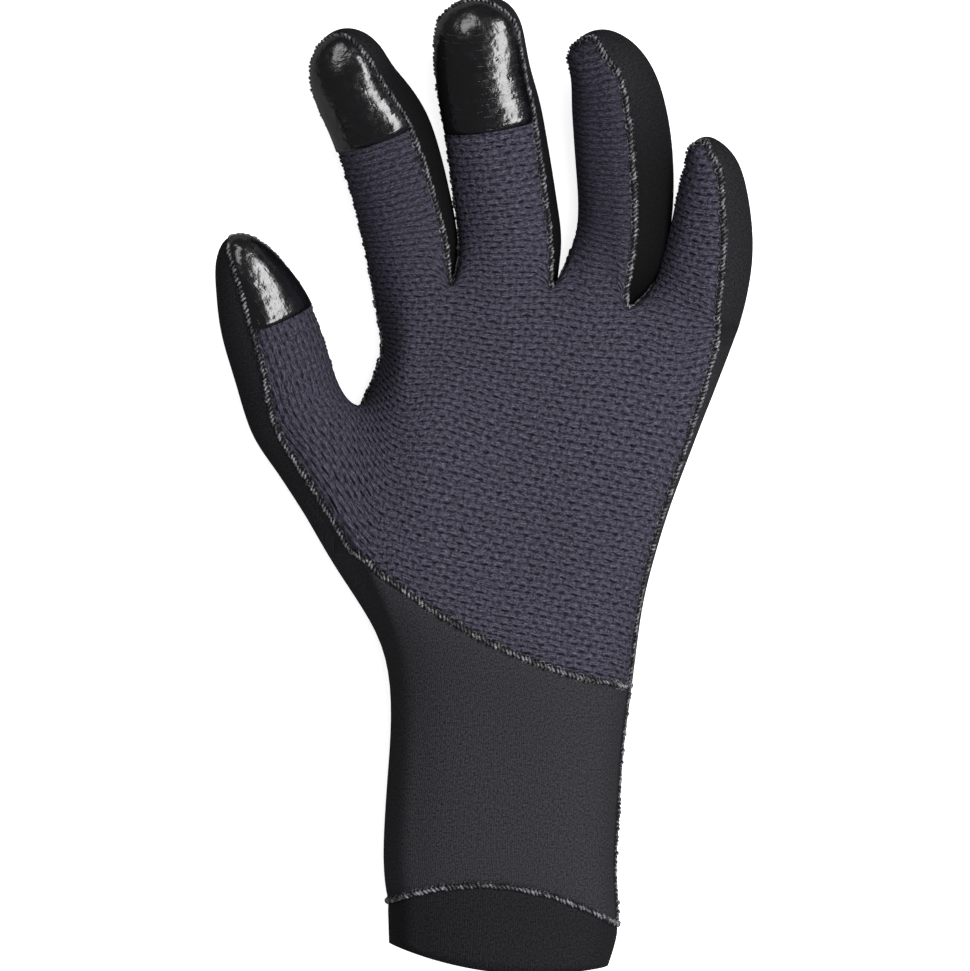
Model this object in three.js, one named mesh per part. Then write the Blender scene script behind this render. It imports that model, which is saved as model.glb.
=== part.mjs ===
// A left-hand diving glove of 3 mm neoprene, lying on its back with the palm up.
// Its outer skin is one smooth surface: a body tube with four fingers and a thumb grown out of it.
// Sewing lines cut that skin into a knitted palm panel, a smooth back panel that wraps round to the
// front of the wrist, and a cuff band. Every panel is a wall with a true hollow inside it.
// Units are millimetres. X runs across the hand with the thumb at -X, Y runs towards the fingertips,
// Z points up out of the palm. The origin is the centre of the footprint, on the surface below.

import * as THREE from "three";

// Driving dimensions of the body
const BODY_LENGTH = 205; // cuff opening to the webs between the fingers
const PALM_WIDTH = 105; // across the knuckles
const PALM_DEPTH = 34; // palm to back
const NEOPRENE = 3; // wall of every panel
const WEB_DROP = 4.5; // how far the palm side of a web lies below its crest
const WEB_ROUNDING = 0.8; // how far the seam's two legs are drawn apart just above a web
const HEM_DENT = 1.4; // how far the hem seam is pressed up into the cloth that lies on the surface

// Driving dimensions of the trim
const SEAM_WIDTH = 3;
const SEAM_HEIGHT = 1.1;
const COATING = 0.6; // thickness of the glossy fingertip patches
const CLEARANCE = 0.3; // between neighbouring pieces

// Colours from the photograph
const CLOTH = {
  palm: { color: 0x42404d, roughness: 0.85, metalness: 0 },
  neoprene: { color: 0x2a2a2d, roughness: 0.8, metalness: 0 },
  thread: { color: 0x38383d, roughness: 0.6, metalness: 0 },
  coating: { color: 0x101013, roughness: 0.15, metalness: 0 },
};

// Body sections from the cuff opening to the webs.
// left, middle and right place the palm side along Y and back its mid-back, as shares of BODY_LENGTH.
// edgeLeft and edgeRight are the outline across X, as shares of PALM_WIDTH from the wrist's centre.
// deep is a share of PALM_DEPTH, hollow the dish of the palm as a share of the section's own depth.
// swell lifts the ball of the thumb, as a share of PALM_DEPTH.
// seamLeft and seamRight tell how high the side columns sit, from -1 at the floor to 1 at the top.
const BODY_ROWS = [
  { row: "opening", left: 0.043, middle: 0.0035, right: 0.01, back: 0.045, edgeLeft: -0.324, edgeRight: 0.292,
    deep: 1.0, hollow: 0, swell: 0, seamLeft: 0, seamRight: 0.1 },
  { row: "hem", left: 0.106, middle: 0.13, right: 0.072, back: 0.097, edgeLeft: -0.328, edgeRight: 0.322,
    deep: 1.06, hollow: 0, swell: 0, seamLeft: 0, seamRight: 0.1 },
  { row: "above_hem", left: 0.17, middle: 0.186, right: 0.15, back: 0.165, edgeLeft: -0.338, edgeRight: 0.316,
    deep: 1.09, hollow: 0, swell: 0, seamLeft: 0, seamRight: 0.1 },
  { row: "cuff", left: 0.287, middle: 0.282, right: 0.25, back: 0.28, edgeLeft: -0.328, edgeRight: 0.326,
    deep: 1.12, hollow: 0, swell: 0, seamLeft: 0, seamRight: 0.1 },
  { row: "wrist", left: 0.44, middle: 0.382, right: 0.335, back: 0.4, edgeLeft: -0.337, edgeRight: 0.336,
    deep: 1.15, hollow: 0, swell: 0.02, seamLeft: 0.15, seamRight: 0.1 },
  { row: "panel_seam", left: 0.62, middle: 0.483, right: 0.42, back: 0.528, edgeLeft: -0.508, edgeRight: 0.36,
    deep: 1.24, hollow: 0.02, swell: 0.08, seamLeft: 0.68, seamRight: 0.2 },
  { row: "heel", left: 0.719, middle: 0.601, right: 0.54, back: 0.645, edgeLeft: -0.42, edgeRight: 0.392,
    deep: 1.24, hollow: 0.07, swell: 0.12, seamLeft: 0.4, seamRight: 0.3 },
  { row: "thumb_web", left: 0.872, middle: 0.735, right: 0.66, back: 0.762, edgeLeft: -0.39, edgeRight: 0.457,
    deep: 1.1, hollow: 0.12, swell: 0.1, seamLeft: -0.3, seamRight: 0.35 },
  { row: "upper_palm", left: 0.909, middle: 0.868, right: 0.785, back: 0.875, edgeLeft: -0.354, edgeRight: 0.552,
    deep: 0.97, hollow: 0.05, swell: 0.03, seamLeft: -0.3, seamRight: 0.45 },
  { row: "finger_webs", left: 0.982, middle: 0.999, right: 0.916, back: 0.999, edgeLeft: -0.382, edgeRight: 0.686,
    deep: 0.86, hollow: 0, swell: 0, seamLeft: -0.35, seamRight: 0.55 },
];
const PALM_ROUNDNESS = 2.5; // exponent of the section's upper half
const BACK_ROUNDNESS = 3.4; // the lower half lies flatter
const THENAR_FALL = 4; // how fast the ball of the thumb falls off towards the little finger
const BACK_SPREAD = 0.96; // share of the half width that the back columns reach

// Nine columns across the palm side and nine across the back, as shares of the way from side to side
const COLUMNS = [0.055, 0.13, 0.222, 0.37, 0.519, 0.63, 0.738, 0.855, 0.95];
const WEB_COLUMNS = [2, 4, 6];
const WEB_HEIGHT = 0.8; // height of a web's crest, as a share of the section's depth
const PALM = COLUMNS.length;

// Digits. acrossPalm and upBody place the root as shares of PALM_WIDTH and BODY_LENGTH, rootHeight is
// a share of PALM_DEPTH, and splay is degrees from +Y towards +X. In a station, along, sway and lift
// are shares of the length, wide and deep are shares of the width and depth, and the seam angles are
// degrees round the section: 0 towards +X, 90 up. patchFrom is the first station under the patch.
const DIGITS = [
  { name: "index", length: 79.3, width: 28.8, depth: 25, acrossPalm: -0.269, upBody: 0.998, rootHeight: 0.43,
    splay: -14.5, patchFrom: 2, tipLift: 0.275, stations: [
      { along: 0.14, sway: 0.037, lift: 0.0, wide: 0.91, deep: 1.06, seamRight: 42, seamLeft: 190 },
      { along: 0.33, sway: 0.0535, lift: 0.02, wide: 0.95, deep: 1.02, seamRight: 50, seamLeft: 188 },
      { along: 0.61, sway: 0.053, lift: 0.07, wide: 1.0, deep: 1.0, seamRight: 57, seamLeft: 186 },
      { along: 0.78, sway: 0.012, lift: 0.135, wide: 0.93, deep: 0.98, seamRight: 56, seamLeft: 184 },
      { along: 0.89, sway: -0.004, lift: 0.195, wide: 0.835, deep: 0.86, seamRight: 54, seamLeft: 182 },
      { along: 0.965, sway: -0.006, lift: 0.235, wide: 0.54, deep: 0.58, seamRight: 54, seamLeft: 182 },
    ] },
  { name: "middle", length: 87.6, width: 30.4, depth: 26, acrossPalm: 0.02, upBody: 0.998, rootHeight: 0.43,
    splay: -5.3, patchFrom: 2, tipLift: 0.225, stations: [
      { along: 0.14, sway: 0.013, lift: 0.0, wide: 1.03, deep: 1.04, seamRight: 40, seamLeft: 168 },
      { along: 0.33, sway: 0.012, lift: 0.02, wide: 1.0, deep: 1.0, seamRight: 40, seamLeft: 180 },
      { along: 0.58, sway: 0.004, lift: 0.055, wide: 0.98, deep: 0.97, seamRight: 38, seamLeft: 181 },
      { along: 0.74, sway: -0.01, lift: 0.115, wide: 0.94, deep: 0.93, seamRight: 34, seamLeft: 181 },
      { along: 0.89, sway: -0.024, lift: 0.165, wide: 0.865, deep: 0.84, seamRight: 33, seamLeft: 181 },
      { along: 0.965, sway: -0.026, lift: 0.197, wide: 0.62, deep: 0.58, seamRight: 33, seamLeft: 181 },
    ] },
  { name: "ring", length: 79.3, width: 28.8, depth: 25, acrossPalm: 0.271, upBody: 0.982, rootHeight: 0.43,
    splay: -2.6, patchFrom: null, tipLift: 0.285, stations: [
      { along: 0.14, sway: 0.06, lift: 0.0, wide: 0.87, deep: 1.04, seamRight: 70, seamLeft: 176 },
      { along: 0.33, sway: 0.113, lift: 0.02, wide: 0.93, deep: 1.0, seamRight: 79, seamLeft: 194 },
      { along: 0.55, sway: 0.122, lift: 0.075, wide: 1.0, deep: 0.98, seamRight: 82, seamLeft: 206 },
      { along: 0.75, sway: 0.107, lift: 0.145, wide: 0.95, deep: 0.95, seamRight: 82, seamLeft: 206 },
      { along: 0.89, sway: 0.068, lift: 0.205, wide: 0.81, deep: 0.84, seamRight: 80, seamLeft: 204 },
      { along: 0.965, sway: 0.02, lift: 0.245, wide: 0.55, deep: 0.56, seamRight: 78, seamLeft: 202 },
    ] },
  { name: "little", length: 57.5, width: 25.5, depth: 22.5, acrossPalm: 0.506, upBody: 0.938, rootHeight: 0.43,
    splay: 8.7, patchFrom: null, tipLift: 0.3, stations: [
      { along: 0.14, sway: 0.06, lift: 0.0, wide: 1.1, deep: 1.12, seamRight: 60, seamLeft: 174 },
      { along: 0.33, sway: 0.087, lift: 0.03, wide: 1.04, deep: 1.06, seamRight: 68, seamLeft: 196 },
      { along: 0.55, sway: 0.081, lift: 0.085, wide: 0.95, deep: 1.0, seamRight: 73, seamLeft: 199 },
      { along: 0.75, sway: 0.057, lift: 0.155, wide: 0.81, deep: 0.9, seamRight: 75, seamLeft: 199 },
      { along: 0.89, sway: 0.033, lift: 0.22, wide: 0.61, deep: 0.72, seamRight: 74, seamLeft: 198 },
      { along: 0.965, sway: 0.01, lift: 0.262, wide: 0.37, deep: 0.47, seamRight: 72, seamLeft: 196 },
    ] },
  { name: "thumb", length: 86.3, width: 29, depth: 26, acrossPalm: -0.409, upBody: 0.701, rootHeight: 0.53,
    splay: -24.9, patchFrom: 3, tipLift: 0.19, stations: [
      { along: 0.17, sway: -0.04, lift: 0.01, wide: 1.12, deep: 1.2, seamRight: -24, seamLeft: 130 },
      { along: 0.35, sway: -0.082, lift: 0.03, wide: 1.02, deep: 1.08, seamRight: -18, seamLeft: 121 },
      { along: 0.51, sway: -0.067, lift: 0.055, wide: 1.0, deep: 1.0, seamRight: -12, seamLeft: 112 },
      { along: 0.69, sway: -0.046, lift: 0.085, wide: 0.96, deep: 0.95, seamRight: -8, seamLeft: 109 },
      { along: 0.83, sway: -0.034, lift: 0.125, wide: 0.76, deep: 0.82, seamRight: -6, seamLeft: 109 },
      { along: 0.94, sway: -0.032, lift: 0.162, wide: 0.47, deep: 0.55, seamRight: -6, seamLeft: 112 },
    ] },
];
const DIGIT_RING = 8; // right seam, three palm points, left seam, three back points
const rowNamed = (name) => BODY_ROWS.findIndex(({ row }) => row === name);
const THUMB_ROWS = { low: rowNamed("panel_seam"), high: rowNamed("thumb_web") };
const SEAM_ROW = rowNamed("panel_seam"); // the row that the palm panel's lower seam follows
const HEM_ROW = rowNamed("hem");

const mix = (a, b, share) => a + (b - a) * share;
const radians = THREE.MathUtils.degToRad;

// The curve through (0, a), (0.5, b) and (1, c)
function bow(a, b, c, share) {
  const bend = 2 * (a + c - 2 * b);
  return a + (c - a - bend) * share + bend * share * share;
}

// How far out a rounded section is, at a height from -1 to 1, and the other way round
const roundedSide = (height, roundness) => (1 - Math.abs(height) ** roundness) ** (1 / roundness);

// One body section: its palm and back points and its two side points
function bodySection(row) {
  const halfDepth = (PALM_DEPTH * row.deep) / 2;
  const centre = (PALM_WIDTH * (row.edgeLeft + row.edgeRight)) / 2;
  const halfWidth = (PALM_WIDTH * (row.edgeRight - row.edgeLeft)) / 2;
  const sideLeft = -roundedSide(row.seamLeft, PALM_ROUNDNESS);
  const sideRight = roundedSide(row.seamRight, PALM_ROUNDNESS);
  const palmY = (share) => BODY_LENGTH * bow(row.left, row.middle, row.right, share);
  const backY = (share) => BODY_LENGTH * bow(row.left, row.back, row.right, share);
  const at = (out, height, y) =>
    new THREE.Vector3(centre + halfWidth * out, y, halfDepth * (1 + height));
  const palm = COLUMNS.map((share) => {
    const out = mix(sideLeft, sideRight, share);
    const dish = 1 - row.hollow * 2 * (1 - out * out);
    const point = at(out, roundedSide(out, PALM_ROUNDNESS) * dish, palmY(share));
    point.z += PALM_DEPTH * row.swell * (1 - share) ** THENAR_FALL;
    return point;
  });
  const back = COLUMNS.map((share) => {
    const out = mix(-BACK_SPREAD, BACK_SPREAD, share);
    return at(out, -roundedSide(out, BACK_ROUNDNESS), backY(share));
  });
  // The outermost back columns lie halfway down from the side columns to the floor
  const halfwayLeft = (row.seamLeft - 1) / 2;
  const halfwayRight = (row.seamRight - 1) / 2;
  back[0] = at(-roundedSide(halfwayLeft, BACK_ROUNDNESS), halfwayLeft, backY(COLUMNS[0]));
  back[PALM - 1] = at(roundedSide(halfwayRight, BACK_ROUNDNESS), halfwayRight, backY(COLUMNS[PALM - 1]));
  return {
    palm,
    back,
    left: at(sideLeft, row.seamLeft, palmY(0)),
    right: at(sideRight, row.seamRight, palmY(1)),
    depth: 2 * halfDepth,
  };
}

// A digit's rings of eight points and its tip, in the body's frame
function digitRings(digit) {
  const root = new THREE.Vector3(
    PALM_WIDTH * digit.acrossPalm,
    BODY_LENGTH * digit.upBody,
    PALM_DEPTH * digit.rootHeight,
  );
  const splay = radians(digit.splay);
  const ahead = new THREE.Vector3(Math.sin(splay), Math.cos(splay), 0);
  const aside = new THREE.Vector3(Math.cos(splay), -Math.sin(splay), 0);
  const up = new THREE.Vector3(0, 0, 1);
  const place = (along, sway, lift) =>
    root
      .clone()
      .addScaledVector(ahead, along * digit.length)
      .addScaledVector(aside, sway * digit.length)
      .addScaledVector(up, lift * digit.length);
  const centres = digit.stations.map((s) => place(s.along, s.sway, s.lift));
  const tip = place(1, digit.stations.at(-1).sway, digit.tipLift);
  const line = [root, ...centres, tip];
  const rings = digit.stations.map((s, i) => {
    const tangent = line[i + 2].clone().sub(line[i]).normalize();
    const across = tangent.clone().cross(up).normalize();
    const over = across.clone().cross(tangent);
    return Array.from({ length: DIGIT_RING }, (_, k) => {
      const half = DIGIT_RING / 2;
      const angle =
        k < half
          ? mix(s.seamRight, s.seamLeft, k / half)
          : mix(s.seamLeft, s.seamRight + 360, (k - half) / half);
      return centres[i]
        .clone()
        .addScaledVector(across, (digit.width / 2) * s.wide * Math.cos(radians(angle)))
        .addScaledVector(over, (digit.depth / 2) * s.deep * Math.sin(radians(angle)));
    });
  });
  return { rings, tip };
}

// The skin as a coarse net of four-sided faces, each with its panel, and the sewing lines along its edges
function gloveNet() {
  const points = [];
  const faces = [];
  const add = (point) => points.push(point) - 1;
  const rows = BODY_ROWS.map((row, j) => {
    const section = bodySection(row);
    if (j === HEM_ROW) section.back.forEach((point) => (point.z += HEM_DENT));
    const isWebRow = j === BODY_ROWS.length - 1;
    const webs = {};
    if (isWebRow)
      for (const column of WEB_COLUMNS) {
        const palm = section.palm[column];
        webs[column] = add(new THREE.Vector3(palm.x, palm.y, section.depth * WEB_HEIGHT));
        palm.y -= WEB_DROP;
      }
    const insideThumb = j > THUMB_ROWS.low && j < THUMB_ROWS.high;
    return {
      palm: section.palm.map(add),
      back: section.back.map(add),
      left: insideThumb ? null : add(section.left),
      right: add(section.right),
      webs,
    };
  });

  // Round the body: palm left to right, right side, back right to left, left side
  const round = (r) => [r.left, ...r.palm, r.right, ...r.back.slice().reverse()];
  for (let j = 0; j + 1 < rows.length; j++) {
    const low = round(rows[j]);
    const high = round(rows[j + 1]);
    low.forEach((point, i) => {
      const next = (i + 1) % low.length;
      const besideThumb = i === 0 || i === low.length - 1;
      if (besideThumb && j >= THUMB_ROWS.low && j < THUMB_ROWS.high) return;
      const onPalm = i <= PALM && j >= SEAM_ROW;
      const panel = j < HEM_ROW ? "band" : onPalm ? "palm" : "back";
      faces.push({ corners: [point, low[next], high[next], high[i]], panel, patch: null });
    });
  }

  const top = rows.at(-1);
  const fingerRoot = (first, seamRight, seamLeft) => [
    seamRight,
    top.palm[first + 2],
    top.palm[first + 1],
    top.palm[first],
    seamLeft,
    top.back[first],
    top.back[first + 1],
    top.back[first + 2],
  ];
  const low = rows[THUMB_ROWS.low];
  const middle = rows[THUMB_ROWS.low + 1];
  const high = rows[THUMB_ROWS.high];
  const roots = {
    index: fingerRoot(0, top.webs[2], top.left),
    middle: fingerRoot(2, top.webs[4], top.webs[2]),
    ring: fingerRoot(4, top.webs[6], top.webs[4]),
    little: fingerRoot(6, top.right, top.webs[6]),
    thumb: [high.left, high.palm[0], middle.palm[0], low.palm[0], low.left, low.back[0], middle.back[0], high.back[0]],
  };
  const seamUp = {};
  const softRings = [];
  for (const digit of DIGITS) {
    const { rings, tip } = digitRings(digit);
    const loops = [roots[digit.name], ...rings.map((ring) => ring.map(add))];
    const pole = add(tip);
    const label = (ring, k) => {
      const onPalm = k < DIGIT_RING / 2;
      const coated = onPalm && digit.patchFrom !== null && ring > digit.patchFrom;
      return { panel: onPalm ? "palm" : "back", patch: coated ? digit.name : null };
    };
    for (let i = 0; i + 1 < loops.length; i++)
      for (let k = 0; k < DIGIT_RING; k++) {
        const next = (k + 1) % DIGIT_RING;
        const corners = [loops[i][next], loops[i][k], loops[i + 1][k], loops[i + 1][next]];
        faces.push({ corners, ...label(i, k) });
      }
    softRings.push(...loops[1].slice(1, DIGIT_RING / 2));
    const last = loops.at(-1);
    for (let k = 0; k < DIGIT_RING; k += 2)
      faces.push({
        corners: [last[k], pole, last[(k + 2) % DIGIT_RING], last[k + 1]],
        ...label(loops.length, k),
      });
    seamUp[digit.name] = {
      right: loops.map((loop) => loop[0]),
      left: loops.map((loop) => loop[DIGIT_RING / 2]),
      pole,
    };
  }

  // Over a digit from its right seam to its left one, without the shared root points
  const over = (name) => [
    ...seamUp[name].right.slice(1),
    seamUp[name].pole,
    ...seamUp[name].left.slice(1).reverse(),
  ];
  const column = (side, from, to) => rows.slice(from, to + 1).map((r) => r[side]);
  const panelSeam = [
    ...column("right", SEAM_ROW, rows.length - 1),
    ...over("little"),
    top.webs[6],
    ...over("ring"),
    top.webs[4],
    ...over("middle"),
    top.webs[2],
    ...over("index"),
    ...column("left", THUMB_ROWS.high, rows.length - 1).reverse(),
    ...over("thumb"),
    low.left,
    ...low.palm,
  ];
  const besideThumb = rows.slice(THUMB_ROWS.low + 1, THUMB_ROWS.high + 1);
  const soft = [
    ...top.palm,
    ...top.back,
    ...besideThumb.flatMap((r) => [r.palm[0], r.palm[1], r.back[0], r.back[1]]),
    ...softRings,
  ];
  return {
    points,
    faces,
    soft,
    seams: {
      panel_seam: { path: panelSeam, closed: true, webs: [...Object.values(top.webs), high.left] },
      side_seam: { path: column("right", HEM_ROW, SEAM_ROW), closed: false },
      hem_seam: { path: round(rows[HEM_ROW]), closed: true },
    },
  };
}

const edgeKey = (a, b) => (a < b ? `${a}_${b}` : `${b}_${a}`);

// Which faces and points touch each point and edge
function adjacency(net) {
  const edges = new Map();
  const around = net.points.map(() => ({ faces: [], edges: [] }));
  net.faces.forEach((face, f) =>
    face.corners.forEach((a, i) => {
      const b = face.corners[(i + 1) % 4];
      const key = edgeKey(a, b);
      if (!edges.has(key)) {
        edges.set(key, { ends: [a, b], faces: [] });
        around[a].edges.push(key);
        around[b].edges.push(key);
      }
      edges.get(key).faces.push(f);
      around[a].faces.push(f);
    }),
  );
  return { edges, around };
}

const average = (list) =>
  list.reduce((sum, p) => sum.add(p), new THREE.Vector3()).divideScalar(list.length);

// One Catmull-Clark step, which keeps the panels and the sewing lines
function subdivide(net) {
  const { edges, around } = adjacency(net);
  const centres = net.faces.map((face) => average(face.corners.map((c) => net.points[c])));
  const points = net.points.map((point, v) => {
    const own = around[v];
    const rim = own.edges.map((key) => edges.get(key)).filter((edge) => edge.faces.length === 1);
    const middles = (list) =>
      average(list.map((edge) => average(edge.ends.map((end) => net.points[end]))));
    if (rim.length) return middles(rim).add(point).divideScalar(2);
    const n = own.edges.length;
    return average(own.faces.map((f) => centres[f]))
      .addScaledVector(middles(own.edges.map((key) => edges.get(key))), 2)
      .addScaledVector(point, n - 3)
      .divideScalar(n);
  });
  const middleOf = new Map();
  for (const [key, edge] of edges) {
    const ends = edge.ends.map((end) => net.points[end]);
    const inner = edge.faces.length === 2 ? edge.faces.map((f) => centres[f]) : [];
    middleOf.set(key, points.push(average([...ends, ...inner])) - 1);
  }
  const faces = net.faces.flatMap((face, f) => {
    const centre = points.push(centres[f]) - 1;
    return face.corners.map((corner, i) => {
      const after = middleOf.get(edgeKey(corner, face.corners[(i + 1) % 4]));
      const before = middleOf.get(edgeKey(corner, face.corners[(i + 3) % 4]));
      return { ...face, corners: [corner, after, centre, before] };
    });
  });
  const seams = {};
  for (const [name, seam] of Object.entries(net.seams)) {
    const path = seam.path.flatMap((v, i) => {
      const next = seam.path[i + 1] ?? (seam.closed ? seam.path[0] : undefined);
      return next === undefined ? [v] : [v, middleOf.get(edgeKey(v, next))];
    });
    seams[name] = { ...seam, path };
  }
  return { points, faces, seams };
}

// Where each point of the net ends up on the smooth surface
function limitPoints(net, { edges, around } = adjacency(net)) {
  return net.points.map((point, v) => {
    const own = around[v];
    const ends = (list) =>
      list.map((edge) => net.points[edge.ends[0] === v ? edge.ends[1] : edge.ends[0]]);
    const all = own.edges.map((key) => edges.get(key));
    const rim = all.filter((edge) => edge.faces.length === 1);
    const sum = new THREE.Vector3();
    if (rim.length) {
      ends(rim).forEach((p) => sum.add(p));
      return sum.addScaledVector(point, 4).divideScalar(6);
    }
    const n = all.length;
    ends(all).forEach((p) => sum.addScaledVector(p, 4));
    own.faces.forEach((f) => {
      const corners = net.faces[f].corners;
      sum.add(net.points[corners[(corners.indexOf(v) + 2) % 4]]);
    });
    return sum.addScaledVector(point, n * n).divideScalar(n * (n + 5));
  });
}

// Evens out the cloth where the digits grow out of the body
function relax(net) {
  const RELAX_STEPS = 2;
  const { edges, around } = adjacency(net);
  for (let step = 0; step < RELAX_STEPS; step++) {
    const moved = net.soft.map((v) => {
      const others = around[v].edges.map((key) => edges.get(key).ends.find((end) => end !== v));
      return average(others.map((other) => net.points[other])).lerp(net.points[v], 0.5);
    });
    net.soft.forEach((v, i) => net.points[v].copy(moved[i]));
  }
  return net;
}

// Moves the net's points until the smooth surface passes through the places they were given
function throughItsPoints(net) {
  const FIT_STEPS = 3;
  const near = adjacency(net);
  const target = net.points.map((p) => p.clone());
  for (let step = 0; step < FIT_STEPS; step++) {
    const limit = limitPoints(net, near);
    net.points.forEach((point, v) => point.add(target[v]).sub(limit[v]));
  }
  return net;
}

function pointNormals(points, faces) {
  const normals = points.map(() => new THREE.Vector3());
  for (const { corners } of faces) {
    const diagonal = (a, b) => points[corners[b]].clone().sub(points[corners[a]]);
    const normal = diagonal(0, 2).cross(diagonal(1, 3));
    corners.forEach((c) => normals[c].add(normal));
  }
  return normals.map((n) => n.normalize());
}

// The skin at its final fineness: points on the smooth surface, none below the floor
function gloveSkin() {
  const fine = subdivide(throughItsPoints(relax(gloveNet())));
  const points = limitPoints(fine);
  points.forEach((p) => (p.z = Math.max(p.z, 0)));
  const normals = pointNormals(points, fine.faces);
  // Ridge and wall are drawn together at a web and at the points next to it, where there is little room
  const PINCH = [0.32, 0.5, 0.8];
  const pinch = new Map();
  const { path, webs } = fine.seams.panel_seam;
  for (const web of webs) {
    const at = path.indexOf(web);
    PINCH.forEach((share, step) => pinch.set(path[at + step], share).set(path[at - step], share));
    for (const beside of [path[at - 1], path[at + 1]])
      points[beside].addScaledVector(normals[beside], -WEB_ROUNDING);
  }
  return { ...fine, points, normals, pinch };
}

// A solid from lists of points and four-sided or three-sided faces
function solidGeometry(points, faces) {
  const index = faces.flatMap(([a, b, c, d]) => (d === undefined ? [a, b, c] : [a, b, c, a, c, d]));
  return new THREE.BufferGeometry()
    .setAttribute("position", new THREE.Float32BufferAttribute(points.flatMap((p) => p.toArray()), 3))
    .setIndex(index);
}

// A wall over some of the skin's faces, from the height `low` to the height `high` above the skin.
// Its edges on a sewing line draw back by `inset`, and a sewing line within it is a true slit.
function wallOver(skin, faces, low, high, inset) {
  const sewn = new Set();
  for (const { path, closed } of Object.values(skin.seams))
    path.forEach((v, i) => {
      const next = path[i + 1] ?? (closed ? path[0] : undefined);
      if (next !== undefined) sewn.add(edgeKey(v, next));
    });
  // Faces round a point belong together where they share an edge that isn't sewn
  const corners = faces.flatMap((face, f) => face.corners.map((v, i) => ({ f, i, v, fan: null })));
  const cornerAt = (f, v) => corners[4 * f + faces[f].corners.indexOf(v)];
  const edges = new Map();
  faces.forEach((face, f) =>
    face.corners.forEach((a, i) => {
      const key = edgeKey(a, face.corners[(i + 1) % 4]);
      edges.set(key, [...(edges.get(key) ?? []), f]);
    }),
  );
  const inner = (key) => edges.get(key).length === 2 && !sewn.has(key);
  const fans = [];
  for (const start of corners) {
    if (start.fan !== null) continue;
    const fan = { v: start.v, towards: new Set(), far: new Set(), onSeam: false };
    const open = [start];
    start.fan = fans.push(fan) - 1;
    while (open.length) {
      const { f, i, v } = open.pop();
      const own = faces[f].corners;
      fan.far.add(own[(i + 2) % 4]);
      for (const other of [own[(i + 1) % 4], own[(i + 3) % 4]]) {
        const key = edgeKey(v, other);
        if (sewn.has(key)) {
          fan.onSeam = true;
          continue;
        }
        fan.towards.add(other);
        for (const g of edges.get(key)) {
          const corner = cornerAt(g, v);
          if (corner.fan !== null) continue;
          corner.fan = start.fan;
          open.push(corner);
        }
      }
    }
  }
  const outer = fans.map(({ v, towards, far, onSeam }) => {
    const point = skin.points[v].clone();
    if (!onSeam) return point;
    const aims = [...(towards.size ? towards : far)].map((t) => skin.points[t]);
    const way = average(aims).sub(point).normalize();
    return point.addScaledVector(way, inset);
  });
  const raised = (height) =>
    outer.map((point, k) => {
      const { v } = fans[k];
      return point.clone().addScaledVector(skin.normals[v], height * (skin.pinch.get(v) ?? 1));
    });
  const points = [...raised(high), ...raised(low)];
  const under = outer.length;
  const quads = [];
  faces.forEach((face, f) => {
    const ring = face.corners.map((v) => cornerAt(f, v).fan);
    quads.push(ring);
    quads.push([ring[0], ring[3], ring[2], ring[1]].map((k) => k + under));
    face.corners.forEach((a, i) => {
      const b = face.corners[(i + 1) % 4];
      if (inner(edgeKey(a, b))) return;
      const [from, to] = [ring[i], ring[(i + 1) % 4]];
      const rim = [to, from, from + under, to + under];
      // Both panels at a seam split their rim along the same diagonal, so neither cuts into the other
      quads.push(a < b ? rim : [...rim.slice(1), to]);
    });
  });
  return solidGeometry(points, quads);
}

// The raised overlock ridge along a sewing line: a low arch whose foot stays clear of the cloth
function seamRidge(skin, { path, closed }, cutBack) {
  const ARCH = [
    { out: -0.5, up: 0 },
    { out: 0.5, up: 0 },
    { out: 0.36, up: 0.72 },
    { out: 0, up: 1 },
    { out: -0.36, up: 0.72 },
  ];
  const WEB_LIFT = 1; // how much higher a ridge pinched to nothing would lie
  const at = path.map((v) => skin.points[v].clone());
  const count = at.length;
  if (!closed) {
    const shorten = (end, next) => at[end].add(at[next].clone().sub(at[end]).setLength(cutBack));
    shorten(0, 1);
    shorten(count - 1, count - 2);
  }
  const rings = path.map((v, i) => {
    const before = at[closed ? (i + count - 1) % count : Math.max(i - 1, 0)];
    const after = at[closed ? (i + 1) % count : Math.min(i + 1, count - 1)];
    const normal = skin.normals[v];
    const across = normal.clone().cross(after.clone().sub(before)).normalize();
    const size = skin.pinch.get(v) ?? 1;
    const lift = CLEARANCE + (1 - size) * WEB_LIFT;
    return ARCH.map(({ out, up }) => {
      const point = at[i].clone().addScaledVector(across, out * size * SEAM_WIDTH);
      point.addScaledVector(normal, lift + up * size * SEAM_HEIGHT);
      point.z = Math.max(point.z, 0);
      return point;
    });
  });
  const sides = ARCH.length;
  const faces = [];
  const last = closed ? count : count - 1;
  for (let i = 0; i < last; i++)
    for (let k = 0; k < sides; k++) {
      const here = i * sides;
      const there = ((i + 1) % count) * sides;
      const next = (k + 1) % sides;
      faces.push([here + k, here + next, there + next, there + k]);
    }
  if (!closed)
    for (let k = 1; k + 1 < sides; k++) {
      const end = (count - 1) * sides;
      faces.push([0, k + 1, k]);
      faces.push([end, end + k, end + k + 1]);
    }
  return solidGeometry(rings.flat(), faces);
}

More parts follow.
